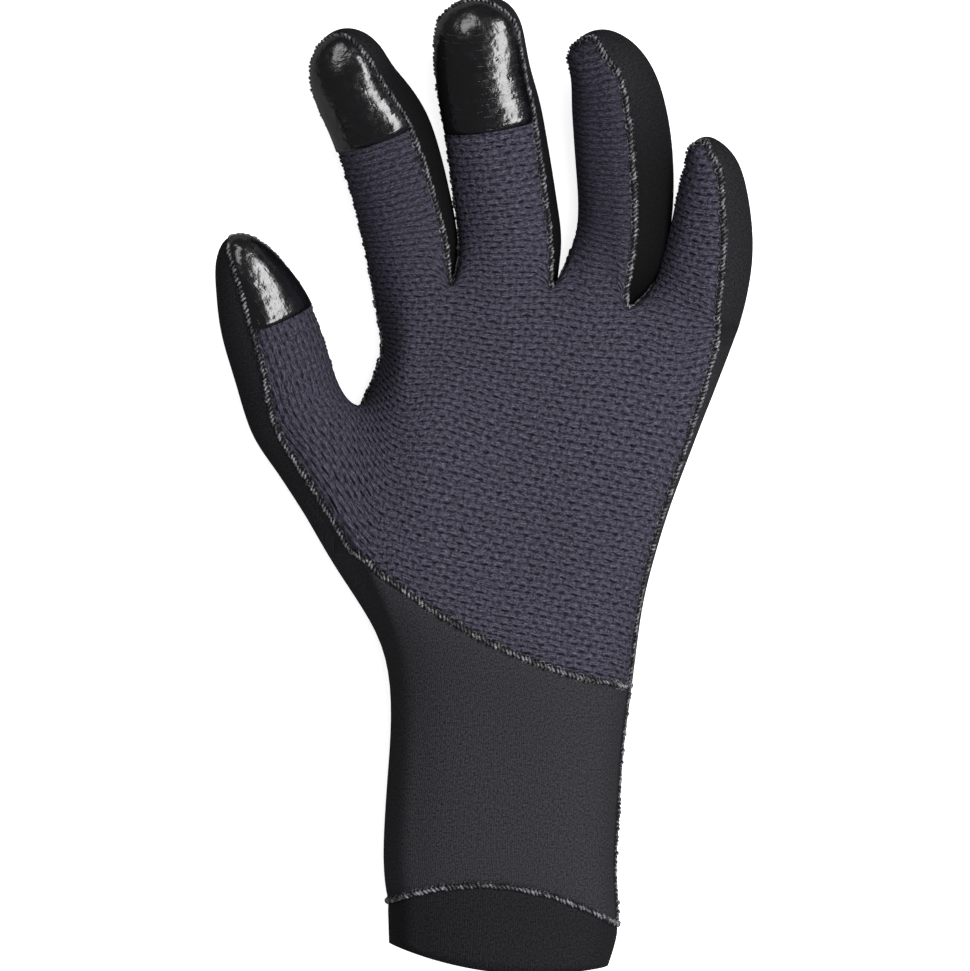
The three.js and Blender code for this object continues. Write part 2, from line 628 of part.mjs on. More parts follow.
function buildGlove() {
  const skin = gloveSkin();
  const glove = new THREE.Group();
  const addPiece = (name, geometry, look) => {
    geometry.computeVertexNormals();
    const piece = new THREE.Mesh(geometry, new THREE.MeshStandardMaterial(look));
    piece.name = name;
    glove.add(piece);
  };
  const facesOf = (panel) => skin.faces.filter((face) => face.panel === panel);
  const panel = (name) => wallOver(skin, facesOf(name), -NEOPRENE, 0, CLEARANCE / 2);
  addPiece("palm_panel", panel("palm"), CLOTH.palm);
  addPiece("back_panel", panel("back"), CLOTH.neoprene);
  addPiece("cuff_band", panel("band"), CLOTH.neoprene);

  const besideSeam = SEAM_WIDTH / 2 + CLEARANCE;
  for (const { name, patchFrom } of DIGITS) {
    if (patchFrom === null) continue;
    const faces = skin.faces.filter((face) => face.patch === name);
    const coating = wallOver(skin, faces, CLEARANCE, CLEARANCE + COATING, besideSeam);
    addPiece(`${name}_fingertip_patch`, coating, CLOTH.coating);
  }
  for (const [name, seam] of Object.entries(skin.seams))
    addPiece(name, seamRidge(skin, seam, besideSeam), CLOTH.thread);

  const box = new THREE.Box3().setFromObject(glove);
  const middle = box.getCenter(new THREE.Vector3());
  glove.position.set(-middle.x, -middle.y, -box.min.z);
  return glove;
}

export default buildGlove();
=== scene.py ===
"""Looks of a preformed left-hand diving glove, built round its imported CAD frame.

The skin is one coarse cage with the CAD model's own sections, finished by a Subdivision Surface. It is cut
along its sewing lines into the knitted palm, the smooth back and the cuff band. Ridges, stitches and the
glossy fingertip coatings follow the same surface. Lengths are metres, the glove lies palm up on Z = 0.
"""

import math
import random

import bmesh
import bpy
from bpy.props import FloatProperty, FloatVectorProperty, IntProperty, PointerProperty
from mathutils import Matrix, Vector, kdtree, noise


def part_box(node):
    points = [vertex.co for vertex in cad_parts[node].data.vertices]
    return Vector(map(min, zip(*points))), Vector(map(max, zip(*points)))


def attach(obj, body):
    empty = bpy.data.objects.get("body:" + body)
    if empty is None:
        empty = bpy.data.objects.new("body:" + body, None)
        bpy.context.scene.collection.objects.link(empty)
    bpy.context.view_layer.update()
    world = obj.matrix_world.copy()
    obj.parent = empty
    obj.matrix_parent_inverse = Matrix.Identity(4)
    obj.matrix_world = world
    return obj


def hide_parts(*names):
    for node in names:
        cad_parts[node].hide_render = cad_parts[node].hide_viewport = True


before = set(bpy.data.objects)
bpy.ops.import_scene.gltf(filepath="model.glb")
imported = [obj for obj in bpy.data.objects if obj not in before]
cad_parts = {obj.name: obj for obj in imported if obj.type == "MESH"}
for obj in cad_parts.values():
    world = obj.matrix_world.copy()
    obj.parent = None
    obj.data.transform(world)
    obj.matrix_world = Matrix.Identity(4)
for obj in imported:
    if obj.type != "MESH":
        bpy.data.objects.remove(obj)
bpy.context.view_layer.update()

bl_info = {
    "name": "Diving glove",
    "version": (1, 0, 0),
    "blender": (4, 5, 0),
    "location": "3D View > Sidebar > Glove",
    "description": "Models a preformed neoprene diving glove with a knitted palm",
    "category": "Object",
}

MM = 0.001
PIXEL = 0.3 * MM  # of the photograph, on the glove
PICTURE_WIDTH = 970

# Body sections from the cuff opening to the webs. left, middle, right and back place the section along Y as
# shares of the body length, edge_left and edge_right its outline as shares of the palm width. deep and swell
# are shares of the palm depth, hollow a share of the section's own depth, and seam_left and seam_right the
# height of the side columns, from -1 at the floor to 1 at the top.
ROW_COLUMNS = ("left", "middle", "right", "back", "edge_left", "edge_right", "deep", "hollow", "swell",
               "seam_left", "seam_right")
BODY_ROWS = {
    "opening": (0.043, 0.0035, 0.01, 0.045, -0.324, 0.292, 1.0, 0, 0, 0, 0.1),
    "hem": (0.106, 0.13, 0.072, 0.097, -0.328, 0.322, 1.06, 0, 0, 0, 0.1),
    "above_hem": (0.17, 0.186, 0.15, 0.165, -0.338, 0.316, 1.09, 0, 0, 0, 0.1),
    "cuff": (0.287, 0.282, 0.25, 0.28, -0.328, 0.326, 1.12, 0, 0, 0, 0.1),
    "wrist": (0.465, 0.382, 0.335, 0.4, -0.332, 0.336, 1.15, 0, 0.02, 0.15, 0.1),
    "panel_seam": (0.62, 0.483, 0.42, 0.528, -0.508, 0.36, 1.24, 0.02, 0.08, 0.68, 0.2),
    "heel": (0.719, 0.601, 0.54, 0.645, -0.42, 0.392, 1.24, 0.07, 0.12, 0.4, 0.3),
    "thumb_web": (0.888, 0.735, 0.66, 0.762, -0.372, 0.457, 1.1, 0.12, 0.1, -0.3, 0.35),
    "upper_palm": (0.917, 0.868, 0.785, 0.875, -0.356, 0.552, 0.97, 0.05, 0.03, -0.3, 0.45),
    "finger_webs": (0.982, 0.999, 0.916, 0.999, -0.382, 0.66, 0.86, 0, 0, -0.35, 0.57),
}
COLUMNS = (0.055, 0.13, 0.222, 0.37, 0.519, 0.63, 0.738, 0.855, 0.95)  # across the palm and the back
WEB_COLUMNS = (2, 4, 6)
MIDDLE = 5  # a section's middle place on the palm and, counted from its end, on the back
HEM_ROW, SEAM_ROW, THUMB_LOW, THUMB_HIGH = 1, 5, 5, 7
PALM_ROUNDNESS, BACK_ROUNDNESS = 2.5, 3.4  # exponents of a section's upper and lower half
BACK_SPREAD = 0.96
THENAR_FALL = 4
KNIT_SLOPE = {"panel_seam": 0.17, "heel": 0.2, "thumb_web": 0.22, "upper_palm": 0.16, "finger_webs": 0.05}
# How far a digit draws the knit
STRETCH = {"index": 1.0, "middle": 0.1, "ring": 1.4, "little": 0.1, "thumb": 0.5}
# How much shade is painted on a digit's smooth cloth, at the right side of its root and round each station;
# deepest between the digits, where they shade each other
PAINTED_DIGIT_SHADE = {"index": (1, 1, 1, 1, 0.9, 0.7, 0.6), "middle": (1, 1, 0.95, 0.8, 0.6, 0.5, 0.5),
             "ring": (1.05, 1.05, 1.03, 0.95, 0.7, 0.55, 0.5), "little": (0.5,) * 7, "thumb": (0.4,) * 7}
WEB_HEIGHT = 0.8  # share of the section's depth
WEB_DROP = 4.5 * MM
HEM_DENT = 1.4 * MM

# Digits: length, width, depth, root across the palm and up the body, root height, splay in degrees, the
# first station under a coating or None, and the tip's lift. A station gives along, sway, lift, wide, deep and
# the angles of the right and the left seam round the section.
DIGIT_COLUMNS = ("length", "width", "depth", "across", "up", "root_height", "splay", "coated_from", "tip_lift")
STATION_COLUMNS = ("along", "sway", "lift", "wide", "deep", "seam_right", "seam_left")
DIGITS = {
    "index": ((0.0793, 0.0288, 0.025, -0.269, 0.998, 0.43, -14.5, 2, 0.275), (
        (0.14, 0.048, 0, 0.97, 1.06, 42, 190), (0.33, 0.062, 0.02, 0.995, 1.02, 50, 188),
        (0.61, 0.053, 0.07, 1.0, 1.0, 57, 186), (0.78, 0.005, 0.135, 0.895, 0.98, 56, 184),
        (0.89, -0.011, 0.195, 0.8, 0.86, 54, 182), (0.965, -0.01, 0.235, 0.53, 0.58, 54, 182))),
    "middle": ((0.0876, 0.0304, 0.026, 0.02, 0.998, 0.43, -5.3, 2, 0.225), (
        (0.14, 0.013, 0, 1.03, 1.04, 40, 168), (0.33, 0.012, 0.02, 1.0, 1.0, 40, 180),
        (0.58, -0.001, 0.055, 0.98, 0.97, 38, 181), (0.74, -0.021, 0.115, 0.94, 0.93, 34, 181),
        (0.89, -0.024, 0.165, 0.865, 0.84, 33, 181), (0.965, -0.026, 0.197, 0.62, 0.58, 33, 181))),
    "ring": ((0.0793, 0.0288, 0.025, 0.271, 0.982, 0.43, -2.6, None, 0.285), (
        (0.14, 0.07, 0, 0.94, 1.04, 70, 176), (0.33, 0.119, 0.02, 0.97, 1.0, 79, 194),
        (0.55, 0.122, 0.075, 1.0, 0.98, 82, 206), (0.75, 0.107, 0.145, 0.95, 0.95, 82, 206),
        (0.89, 0.068, 0.205, 0.77, 0.84, 80, 204), (0.965, 0.02, 0.245, 0.53, 0.56, 78, 202))),
    "little": ((0.0575, 0.0255, 0.0225, 0.506, 0.938, 0.43, 8.7, None, 0.3), (
        (0.14, 0.055, 0, 1.13, 1.12, 60, 174), (0.33, 0.081, 0.03, 1.06, 1.06, 68, 196),
        (0.55, 0.079, 0.085, 0.95, 1.0, 73, 199), (0.75, 0.05, 0.155, 0.8, 0.9, 75, 199),
        (0.89, 0.018, 0.22, 0.59, 0.72, 74, 198), (0.965, -0.028, 0.262, 0.35, 0.47, 72, 196))),
    "thumb": ((0.0863, 0.029, 0.026, -0.409, 0.701, 0.53, -24.9, 3, 0.19), (
        (0.22, -0.05, 0.015, 1.07, 1.17, -24, 128), (0.36, -0.082, 0.03, 1.02, 1.08, -18, 121),
        (0.51, -0.067, 0.055, 1.0, 1.0, -12, 112), (0.69, -0.046, 0.085, 0.96, 0.95, -8, 109),
        (0.83, -0.034, 0.125, 0.76, 0.82, -6, 109), (0.94, -0.032, 0.162, 0.47, 0.55, -6, 112))),
}
RING = 8  # points round a digit: right seam, three on the palm side, left seam, three on the back

# Face labels of the skin, kept as material indices
PALM, BACK, BAND = 0, 1, 2
COATED = {"index": 3, "middle": 4, "thumb": 5}
KNIT = (PALM, *COATED.values())

RELAX_STEPS = 2
FIT_STEPS = 3


class GloveShape(bpy.types.PropertyGroup):
    """Sizes of the glove's body and cloth."""

    body_length: FloatProperty(
        name="Body length", description="Cuff opening to the webs between the fingers", default=0.205, min=0.1,
        unit="LENGTH")
    palm_width: FloatProperty(
        name="Palm width", description="Across the knuckles", default=0.105, min=0.05, unit="LENGTH")
    palm_depth: FloatProperty(
        name="Palm depth", description="Palm to back", default=0.034, min=0.01, unit="LENGTH")
    neoprene: FloatProperty(
        name="Neoprene", description="Thickness of every panel", default=0.003, min=0.001, unit="LENGTH")
    coating: FloatProperty(
        name="Coating", description="Thickness of the glossy fingertip coating", default=0.0006, min=0.0002,
        unit="LENGTH")
    skin_level: IntProperty(
        name="Skin level", description="Subdivision level of the cloth", default=3, min=1, max=4)


class GloveThread(bpy.types.PropertyGroup):
    """Sizes of the seams and their stitches."""

    ridge_width: FloatProperty(
        name="Ridge width", description="Width of a raised seam", default=0.0022, min=0.001, unit="LENGTH")
    ridge_height: FloatProperty(
        name="Ridge height", description="Height of a raised seam", default=0.0007, min=0.0002, unit="LENGTH")
    pitch: FloatProperty(
        name="Stitch pitch", description="Length of one stitch", default=0.00125, min=0.0005, unit="LENGTH")
    thread: FloatProperty(
        name="Thread", description="Thickness of the overlock thread", default=0.00056, min=0.0001,
        unit="LENGTH")


class GloveFinish(bpy.types.PropertyGroup):
    """Colours of the cloths and the scale of their weave."""

    knit: FloatVectorProperty(
        name="Knit", description="Colour of the knitted palm", subtype="COLOR", size=3,
        default=(0.057, 0.054, 0.078), min=0, max=1)
    neoprene: FloatVectorProperty(
        name="Neoprene", description="Colour of the smooth back", subtype="COLOR", size=3,
        default=(0.0265, 0.026, 0.030), min=0, max=1)
    band: FloatVectorProperty(
        name="Band", description="Colour of the cuff band", subtype="COLOR", size=3,
        default=(0.0112, 0.0108, 0.0128), min=0, max=1)
    lining: FloatVectorProperty(
        name="Lining", description="Colour of the inner face", subtype="COLOR", size=3,
        default=(0.018, 0.018, 0.020), min=0, max=1)
    thread: FloatVectorProperty(
        name="Thread", description="Colour of the overlock thread", subtype="COLOR", size=3,
        default=(0.105, 0.105, 0.115), min=0, max=1)
    coating: FloatVectorProperty(
        name="Coating", description="Colour of the fingertip coating", subtype="COLOR", size=3,
        default=(0.003, 0.003, 0.004), min=0, max=1)
    cell_width: FloatProperty(
        name="Cell width", description="Length of one knit cell", default=0.0042, min=0.001, unit="LENGTH")
    cell_height: FloatProperty(
        name="Cell height", description="Height of one knit row", default=0.00205, min=0.0005, unit="LENGTH")


class GloveStage(bpy.types.PropertyGroup):
    """Floor, lights and camera."""

    floor: FloatVectorProperty(
        name="Floor", description="Colour of the pale floor", subtype="COLOR", size=3,
        default=(0.93, 0.93, 0.93), min=0, max=1)
    camera_height: FloatProperty(
        name="Camera height", description="Camera above the floor", default=4.0, min=0.5, unit="LENGTH")
    glove_level: FloatProperty(
        name="Glove level", description="Height at which the picture is to scale", default=0.018, min=0,
        unit="LENGTH")


# --- numbers ---


def mix(a, b, share):
    return a + (b - a) * share


def bow(a, b, c, share):
    """The curve through (0, a), (0.5, b) and (1, c)."""
    bend = 2 * (a + c - 2 * b)
    return a + (c - a - bend) * share + bend * share * share


def rounded_side(height, roundness):
    """How far out a rounded section is, at a height from -1 to 1, and the other way round."""
    return (1 - abs(height) ** roundness) ** (1 / roundness)


# --- the cage ---


def body_section(row, shape):
    """One section of the body: its places round the hand from the left side over the palm."""
    half_depth = shape.palm_depth * row["deep"] / 2
    centre = shape.palm_width * (row["edge_left"] + row["edge_right"]) / 2
    half_width = shape.palm_width * (row["edge_right"] - row["edge_left"]) / 2
    side_left = -rounded_side(row["seam_left"], PALM_ROUNDNESS)
    side_right = rounded_side(row["seam_right"], PALM_ROUNDNESS)

    def palm_y(share):
        return shape.body_length * bow(row["left"], row["middle"], row["right"], share)

    def back_y(share):
        return shape.body_length * bow(row["left"], row["back"], row["right"], share)

    def at(out, height, y):
        return Vector((centre + half_width * out, y, half_depth * (1 + height)))

    palm = []
    for share in COLUMNS:
        out = mix(side_left, side_right, share)
        dish = 1 - row["hollow"] * 2 * (1 - out * out)
        place = at(out, rounded_side(out, PALM_ROUNDNESS) * dish, palm_y(share))
        place.z += shape.palm_depth * row["swell"] * (1 - share) ** THENAR_FALL
        palm.append(place)
    back = []
    for share in COLUMNS:
        out = mix(-BACK_SPREAD, BACK_SPREAD, share)
        back.append(at(out, -rounded_side(out, BACK_ROUNDNESS), back_y(share)))
    # The outermost back columns lie halfway down from the side columns to the floor
    low_left, low_right = (row["seam_left"] - 1) / 2, (row["seam_right"] - 1) / 2
    back[0] = at(-rounded_side(low_left, BACK_ROUNDNESS), low_left, back_y(COLUMNS[0]))
    back[-1] = at(rounded_side(low_right, BACK_ROUNDNESS), low_right, back_y(COLUMNS[-1]))
    left = at(side_left, row["seam_left"], palm_y(0))
    right = at(side_right, row["seam_right"], palm_y(1))
    return [left, *palm, right, *reversed(back)]


def digit_rings(name, shape):
    """A digit's rings of eight places, its tip, and how far along it each ring lies."""
    digit = dict(zip(DIGIT_COLUMNS, DIGITS[name][0]))
    stations = [dict(zip(STATION_COLUMNS, s)) for s in DIGITS[name][1]]
    root = Vector((shape.palm_width * digit["across"], shape.body_length * digit["up"],
                   shape.palm_depth * digit["root_height"]))
    splay = math.radians(digit["splay"])
    ahead = Vector((math.sin(splay), math.cos(splay), 0))
    aside = Vector((math.cos(splay), -math.sin(splay), 0))
    up = Vector((0, 0, 1))
    length = digit["length"]

    def place(along, sway, lift):
        return root + length * (along * ahead + sway * aside + lift * up)

    centres = [place(s["along"], s["sway"], s["lift"]) for s in stations]
    tip = place(1, stations[-1]["sway"], digit["tip_lift"])
    line = [root, *centres, tip]
    rings = []
    for i, s in enumerate(stations):
        tangent = (line[i + 2] - line[i]).normalized()
        across = tangent.cross(up).normalized()
        over = across.cross(tangent)
        ring = []
        for k in range(RING):
            half = RING // 2
            angle = (mix(s["seam_right"], s["seam_left"], k / half) if k < half
                     else mix(s["seam_left"], s["seam_right"] + 360, (k - half) / half))
            turn = math.radians(angle)
            ring.append(centres[i] + across * (digit["width"] / 2 * s["wide"] * math.cos(turn))
                        + over * (digit["depth"] / 2 * s["deep"] * math.sin(turn)))
        rings.append(ring)
    return digit, rings, tip, [s["along"] * length for s in stations]


def ring_edges(bm, ring):
    return [bm.edges.get((a, b)) for a, b in zip(ring, ring[1:] + ring[:1])]


def grow_ring(bm, ring, places):
    """Extrudes a closed ring of points to new places. Gives the new ring and the face over each edge."""
    made = bmesh.ops.extrude_edge_only(bm, edges=ring_edges(bm, ring))["geom"]
    new = {g for g in made if isinstance(g, bmesh.types.BMVert)}
    grown = [next(e.other_vert(v) for e in v.link_edges if e.other_vert(v) in new) for v in ring]
    for vert, place in zip(grown, places):
        vert.co = place
    faces = [edge.link_faces[0] for edge in ring_edges(bm, grown)]
    return grown, faces


def across_weave(ring, middle):
    """Weave distances round a row of points: the path length from the point `middle`."""
    steps = [(b.co - a.co).length for a, b in zip(ring, ring[1:])]
    total = [sum(steps[:k]) for k in range(len(ring))]
    return [t - total[middle] for t in total]


def glove_cage(shape):
    """The coarse net of the skin as a bmesh, with panels as material indices and weave coordinates as UVs."""
    bm = bmesh.new()
    sections = [body_section(dict(zip(ROW_COLUMNS, row)), shape) for row in BODY_ROWS.values()]
    sides = len(sections[0])
    last_palm = len(COLUMNS)
    for place in sections[HEM_ROW][last_palm + 2:]:
        place.z += HEM_DENT
    web_places = {}
    for column in WEB_COLUMNS:
        palm = sections[-1][1 + column]
        crest = shape.palm_depth * BODY_ROWS["finger_webs"][ROW_COLUMNS.index("deep")] * WEB_HEIGHT
        web_places[column] = Vector((palm.x, palm.y, crest))
        palm.y -= WEB_DROP

    ring = bmesh.ops.create_circle(bm, cap_ends=False, segments=sides, radius=shape.palm_width / 2)["verts"]
    for vert, place in zip(ring, sections[0]):
        vert.co = place
    rows = [ring]
    for j, section in enumerate(sections[1:]):
        ring, faces = grow_ring(bm, ring, section)
        rows.append(ring)
        for i, face in enumerate(faces):
            on_palm = i <= last_palm and j >= SEAM_ROW
            face.material_index = BAND if j < HEM_ROW else PALM if on_palm else BACK
    bmesh.ops.delete(bm, geom=[rows[THUMB_LOW + 1][0]], context="VERTS")

    palm_weave, back_weave = {}, {}
    for j, row in enumerate(rows):
        over = row[1:last_palm + 2] if j == THUMB_LOW + 1 else row[:last_palm + 2]
        slope = KNIT_SLOPE.get(list(BODY_ROWS)[j], 0)
        for vert, u in zip(over, across_weave(over, over.index(row[MIDDLE]))):
            palm_weave[vert] = (u, vert.co.y + slope * u)
        under = row[last_palm + 1:] + ([] if j == THUMB_LOW + 1 else [row[0]])
        for vert, u in zip(under, across_weave(under, under.index(row[-MIDDLE]))):
            back_weave[vert] = (u, vert.co.y)
    # The front of the wrist belongs to the back panel, and its weave goes on round the sides
    fronts = [row[:last_palm + 2] for row in rows[:SEAM_ROW + 1]]
    wrist_weave = [dict(zip(over, across_weave(over, MIDDLE))) for over in fronts]

    top = rows[-1]
    palm_at = [top[1 + c] for c in range(len(COLUMNS))]
    back_at = [top[sides - 1 - c] for c in range(len(COLUMNS))]
    webs = {}
    for column, place in web_places.items():
        web = bmesh.ops.create_vert(bm, co=place)["vert"][0]
        for near in (palm_at[column], back_at[column]):
            bmesh.ops.contextual_create(bm, geom=[near, web])
        webs[column] = web
        palm_weave[web] = (palm_weave[palm_at[column]][0], palm_weave[palm_at[column]][1] + 2 * WEB_DROP)
        back_weave[web] = (back_weave[back_at[column]][0], place.y + WEB_DROP)

    def finger_root(first, seam_right, seam_left):
        return [seam_right, palm_at[first + 2], palm_at[first + 1], palm_at[first], seam_left,
                back_at[first], back_at[first + 1], back_at[first + 2]]

    low, mid, high = rows[THUMB_LOW:THUMB_HIGH + 1]
    roots = {
        "index": finger_root(0, webs[2], top[0]),
        "middle": finger_root(2, webs[4], webs[2]),
        "ring": finger_root(4, webs[6], webs[4]),
        "little": finger_root(6, top[last_palm + 1], webs[6]),
        "thumb": [high[0], high[1], mid[1], low[1], low[0], low[-1], mid[-1], high[-1]],
    }
    half = RING // 2
    soft = []
    stretched, digit_shade = {}, {}
    for name, root in roots.items():
        digit, rings, tip, along = digit_rings(name, shape)
        coated_from = digit["coated_from"]
        loops = [root]
        # The painted shade of the digit's smooth cloth goes into the second value of the stretch and shade map
        digit_shade.update((v, PAINTED_DIGIT_SHADE[name][0]) for v in (root[0], root[-1]))
        for i, places in enumerate(rings):
            grown, faces = grow_ring(bm, loops[-1], places)
            loops.append(grown)
            stretched.update((v, min(1, (i + 1) / 2) * STRETCH[name]) for v in grown)
            digit_shade.update((v, PAINTED_DIGIT_SHADE[name][i + 1]) for v in grown)
            for k, face in enumerate(faces):
                coated = k < half and coated_from is not None and i > coated_from
                face.material_index = COATED[name] if coated else PALM if k < half else BACK
        bmesh.ops.contextual_create(bm, geom=ring_edges(bm, loops[-1]))
        cap = next(f for f in loops[-1][0].link_faces if len(f.verts) == RING)
        pole = bmesh.ops.poke(bm, faces=[cap])["verts"][0]
        pole.co = tip
        stretched[pole] = STRETCH[name]
        digit_shade[pole] = PAINTED_DIGIT_SHADE[name][-1]
        spokes = [bm.edges.get((pole, v)) for v in loops[-1][1::2]]
        bmesh.ops.dissolve_edges(bm, edges=spokes, use_verts=False)
        for face in pole.link_faces:
            on_palm = any(v in face.verts for v in loops[-1][1:half])
            coated = on_palm and coated_from is not None
            face.material_index = COATED[name] if coated else PALM if on_palm else BACK
        soft += loops[1][1:half]
        tip_along = (tip - Vector(rings[-1][0]).lerp(Vector(rings[-1][half]), 0.5)).length + along[-1]
        weave_digit(palm_weave, root, loops, along, pole, tip_along, name, (0, half + 1))
        weave_digit(back_weave, root, loops, along, pole, tip_along, name, (half, RING + 1))

    soft += top[1:last_palm + 1] + top[last_palm + 3:]  # the sides keep their places
    for row in (mid, high):
        soft += [row[1], row[2], row[-1], row[-2]]
    uv = bm.loops.layers.uv.new("weave")
    stretch = bm.loops.layers.uv.new("stretch")
    for face in bm.faces:
        weave = palm_weave if face.material_index in KNIT else back_weave
        wrist = [w for w in wrist_weave if any(v in w for v in face.verts)]
        front = (face.material_index in (BACK, BAND) and len(wrist) > 0
                 and all(any(v in w for w in wrist) for v in face.verts))
        for loop in face.loops:
            loop[stretch].uv = (stretched.get(loop.vert, 0), digit_shade.get(loop.vert, 0))
            if front:
                u = next(w[loop.vert] for w in wrist if loop.vert in w)
                loop[uv].uv = (u, loop.vert.co.y)
            else:
                loop[uv].uv = weave[loop.vert]

    side = [row[last_palm + 1] for row in rows[HEM_ROW:SEAM_ROW + 1]]
    for a, b in zip(side, side[1:]):
        bm.edges.get((a, b)).seam = True
    relax_and_fit(bm, soft)
    bmesh.ops.recalc_face_normals(bm, faces=bm.faces)
    return bm


def weave_digit(weave, root, loops, along, pole, tip_along, name, span):
    """Weave coordinates of one side of a digit: rows cross a finger, and run up the thumb."""
    first, last = span
    middle_at = (last - 1 - first) // 2
    root_side = [root[k % RING] for k in range(first, last)]
    centre = weave[root_side[middle_at]]
    for i, loop in enumerate(loops[1:]):
        side = [loop[k % RING] for k in range(first, last)]
        sign = -1 if first == 0 else 1
        for vert, offset in zip(side, across_weave(side, middle_at)):
            if name == "thumb":
                weave[vert] = (centre[0] - along[i], centre[1] + sign * offset)
            else:
                weave[vert] = (centre[0] + sign * offset, centre[1] + along[i])
    weave[pole] = ((centre[0] - tip_along, centre[1]) if name == "thumb"
                   else (centre[0], centre[1] + tip_along))


def limit_point(vert):
    """Where a point of the net ends up on the smooth surface."""
    rim = [e for e in vert.link_edges if len(e.link_faces) == 1]
    if rim:
        return (sum((e.other_vert(vert).co for e in rim), Vector()) + 4 * vert.co) / 6
    n = len(vert.link_edges)
    total = n * n * vert.co
    for edge in vert.link_edges:
        total = total + 4 * edge.other_vert(vert).co
    for loop in vert.link_loops:
        total = total + loop.link_loop_next.link_loop_next.vert.co
    return total / (n * (n + 5))


def relax_and_fit(bm, soft):
    """Evens out the cloth where the digits grow, then moves the net so that the surface meets its places."""
    for _ in range(RELAX_STEPS):
        bmesh.ops.smooth_vert(bm, verts=soft, factor=0.5, use_axis_x=True, use_axis_y=True, use_axis_z=True)
    targets = {v: v.co.copy() for v in bm.verts}
    for _ in range(FIT_STEPS):
        limits = {v: limit_point(v) for v in bm.verts}
        for v in bm.verts:
            v.co += targets[v] - limits[v]


# --- the skin ---

SKIN = "glove_skin"
LUMP_SIZE = 22 * MM
LUMP_HEIGHT = 0.35 * MM
FLOOR_FADE, SEAM_FADE = 4 * MM, 6 * MM  # lumps are full this far from the floor and from the seams
PINCH_DEPTH = 0.3 * MM  # how far a seam draws the cloth in
PINCH_REACH = 1.9 * MM


def spread(bm):
    """Lowest and highest corner of a mesh's points."""
    points = [v.co for v in bm.verts]
    return [Vector(pick(p[i] for p in points) for i in range(3)) for pick in (min, max)]


def seam_edges(bm, name):
    """The skin's edges that a seam runs along."""
    def between(edge, wanted):
        return len(edge.link_faces) == 2 and len({f.material_index in wanted for f in edge.link_faces}) == 2

    if name == "side_seam":
        return [e for e in bm.edges if e.seam]
    return [e for e in bm.edges if between(e, KNIT if name == "panel_seam" else (BAND,))]


def seam_path(edges):
    """The edges' points in order, and whether the seam comes back to its start."""
    near = {}
    for edge in edges:
        for vert in edge.verts:
            near.setdefault(vert, []).append(edge.other_vert(vert))
    ends = [v for v, others in near.items() if len(others) == 1]
    path = [min(ends, key=lambda v: v.co.y) if ends else edges[0].verts[0]]
    behind = None
    while True:
        ahead = [v for v in near[path[-1]] if v is not behind]
        if not ahead or ahead[0] is path[0]:
            return path, not ends
        behind = path[-1]
        path.append(ahead[0])


def skin_mesh(scene):
    """The smooth skin in its place on the frame, with one material index for each panel."""
    known = bpy.data.meshes.get(SKIN)
    if known:
        return known
    shape = scene.glove_shape
    bm = glove_cage(shape)
    cage = bpy.data.meshes.new("glove_cage")
    bm.to_mesh(cage)
    bm.free()
    holder = bpy.data.objects.new("glove_cage", cage)
    scene.collection.objects.link(holder)
    smooth = holder.modifiers.new("Smooth skin", "SUBSURF")
    smooth.levels = smooth.render_levels = shape.skin_level
    smooth.use_limit_surface = True
    skin = bpy.data.meshes.new_from_object(holder.evaluated_get(bpy.context.evaluated_depsgraph_get()))
    skin.name = SKIN
    bpy.data.objects.remove(holder)
    bpy.data.meshes.remove(cage)

    bm = bmesh.new()
    bm.from_mesh(skin)
    low, high = spread(bm)
    back_low, back_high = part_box("back_panel")
    shift = Vector(((back_low.x + back_high.x - low.x - high.x) / 2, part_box("cuff_band")[0].y - low.y, 0))
    bmesh.ops.translate(bm, verts=bm.verts, vec=shift)
    bm.normal_update()
    sewn = [v for name in ("panel_seam", "side_seam", "hem_seam") for v in seam_path(seam_edges(bm, name))[0]]
    nearest = kdtree.KDTree(len(sewn))
    for i, vert in enumerate(sewn):
        nearest.insert(vert.co, i)
    nearest.balance()
    moves = {}
    for vert in bm.verts:
        away = nearest.find(vert.co)[2]
        pinch = PINCH_DEPTH * math.exp(-(away / PINCH_REACH) ** 2)
        free = min(1, vert.co.z / FLOOR_FADE, away / SEAM_FADE)
        lump = LUMP_HEIGHT * noise.noise(vert.co / LUMP_SIZE) * free
        moves[vert] = vert.normal * (lump - pinch)
    for vert, move in moves.items():
        vert.co += move
        vert.co.z = max(vert.co.z, 0)
    bm.normal_update()
    bm.to_mesh(skin)
    bm.free()
    return skin


# --- pieces ---


def add_piece(context, name, bm, nodes, materials):
    """Makes the piece's object, smooth shaded, on the root body, and hides the CAD parts it stands for."""
    mesh = bpy.data.meshes.new(name)
    bm.to_mesh(mesh)
    bm.free()
    mesh.shade_smooth()
    for material in materials:
        mesh.materials.append(material)
    piece = bpy.data.objects.new(name, mesh)
    context.scene.collection.objects.link(piece)
    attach(piece, "root")
    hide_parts(*nodes)
    return piece


def panel_of(scene, labels):
    """The part of the skin with these labels, as a bmesh of its own."""
    bm = bmesh.new()
    bm.from_mesh(skin_mesh(scene))
    others = [f for f in bm.faces if f.material_index not in labels]
    bmesh.ops.delete(bm, geom=others, context="FACES")
    for face in bm.faces:
        face.material_index = 0
    return bm


def thicken(piece, thickness, outwards, inner_material):
    """Gives a cloth its thickness. The inner face takes the next material."""
    wall = piece.modifiers.new("Thickness", "SOLIDIFY")
    wall.thickness = thickness
    wall.offset = 1 if outwards else -1
    wall.material_offset = inner_material
    wall.material_offset_rim = inner_material


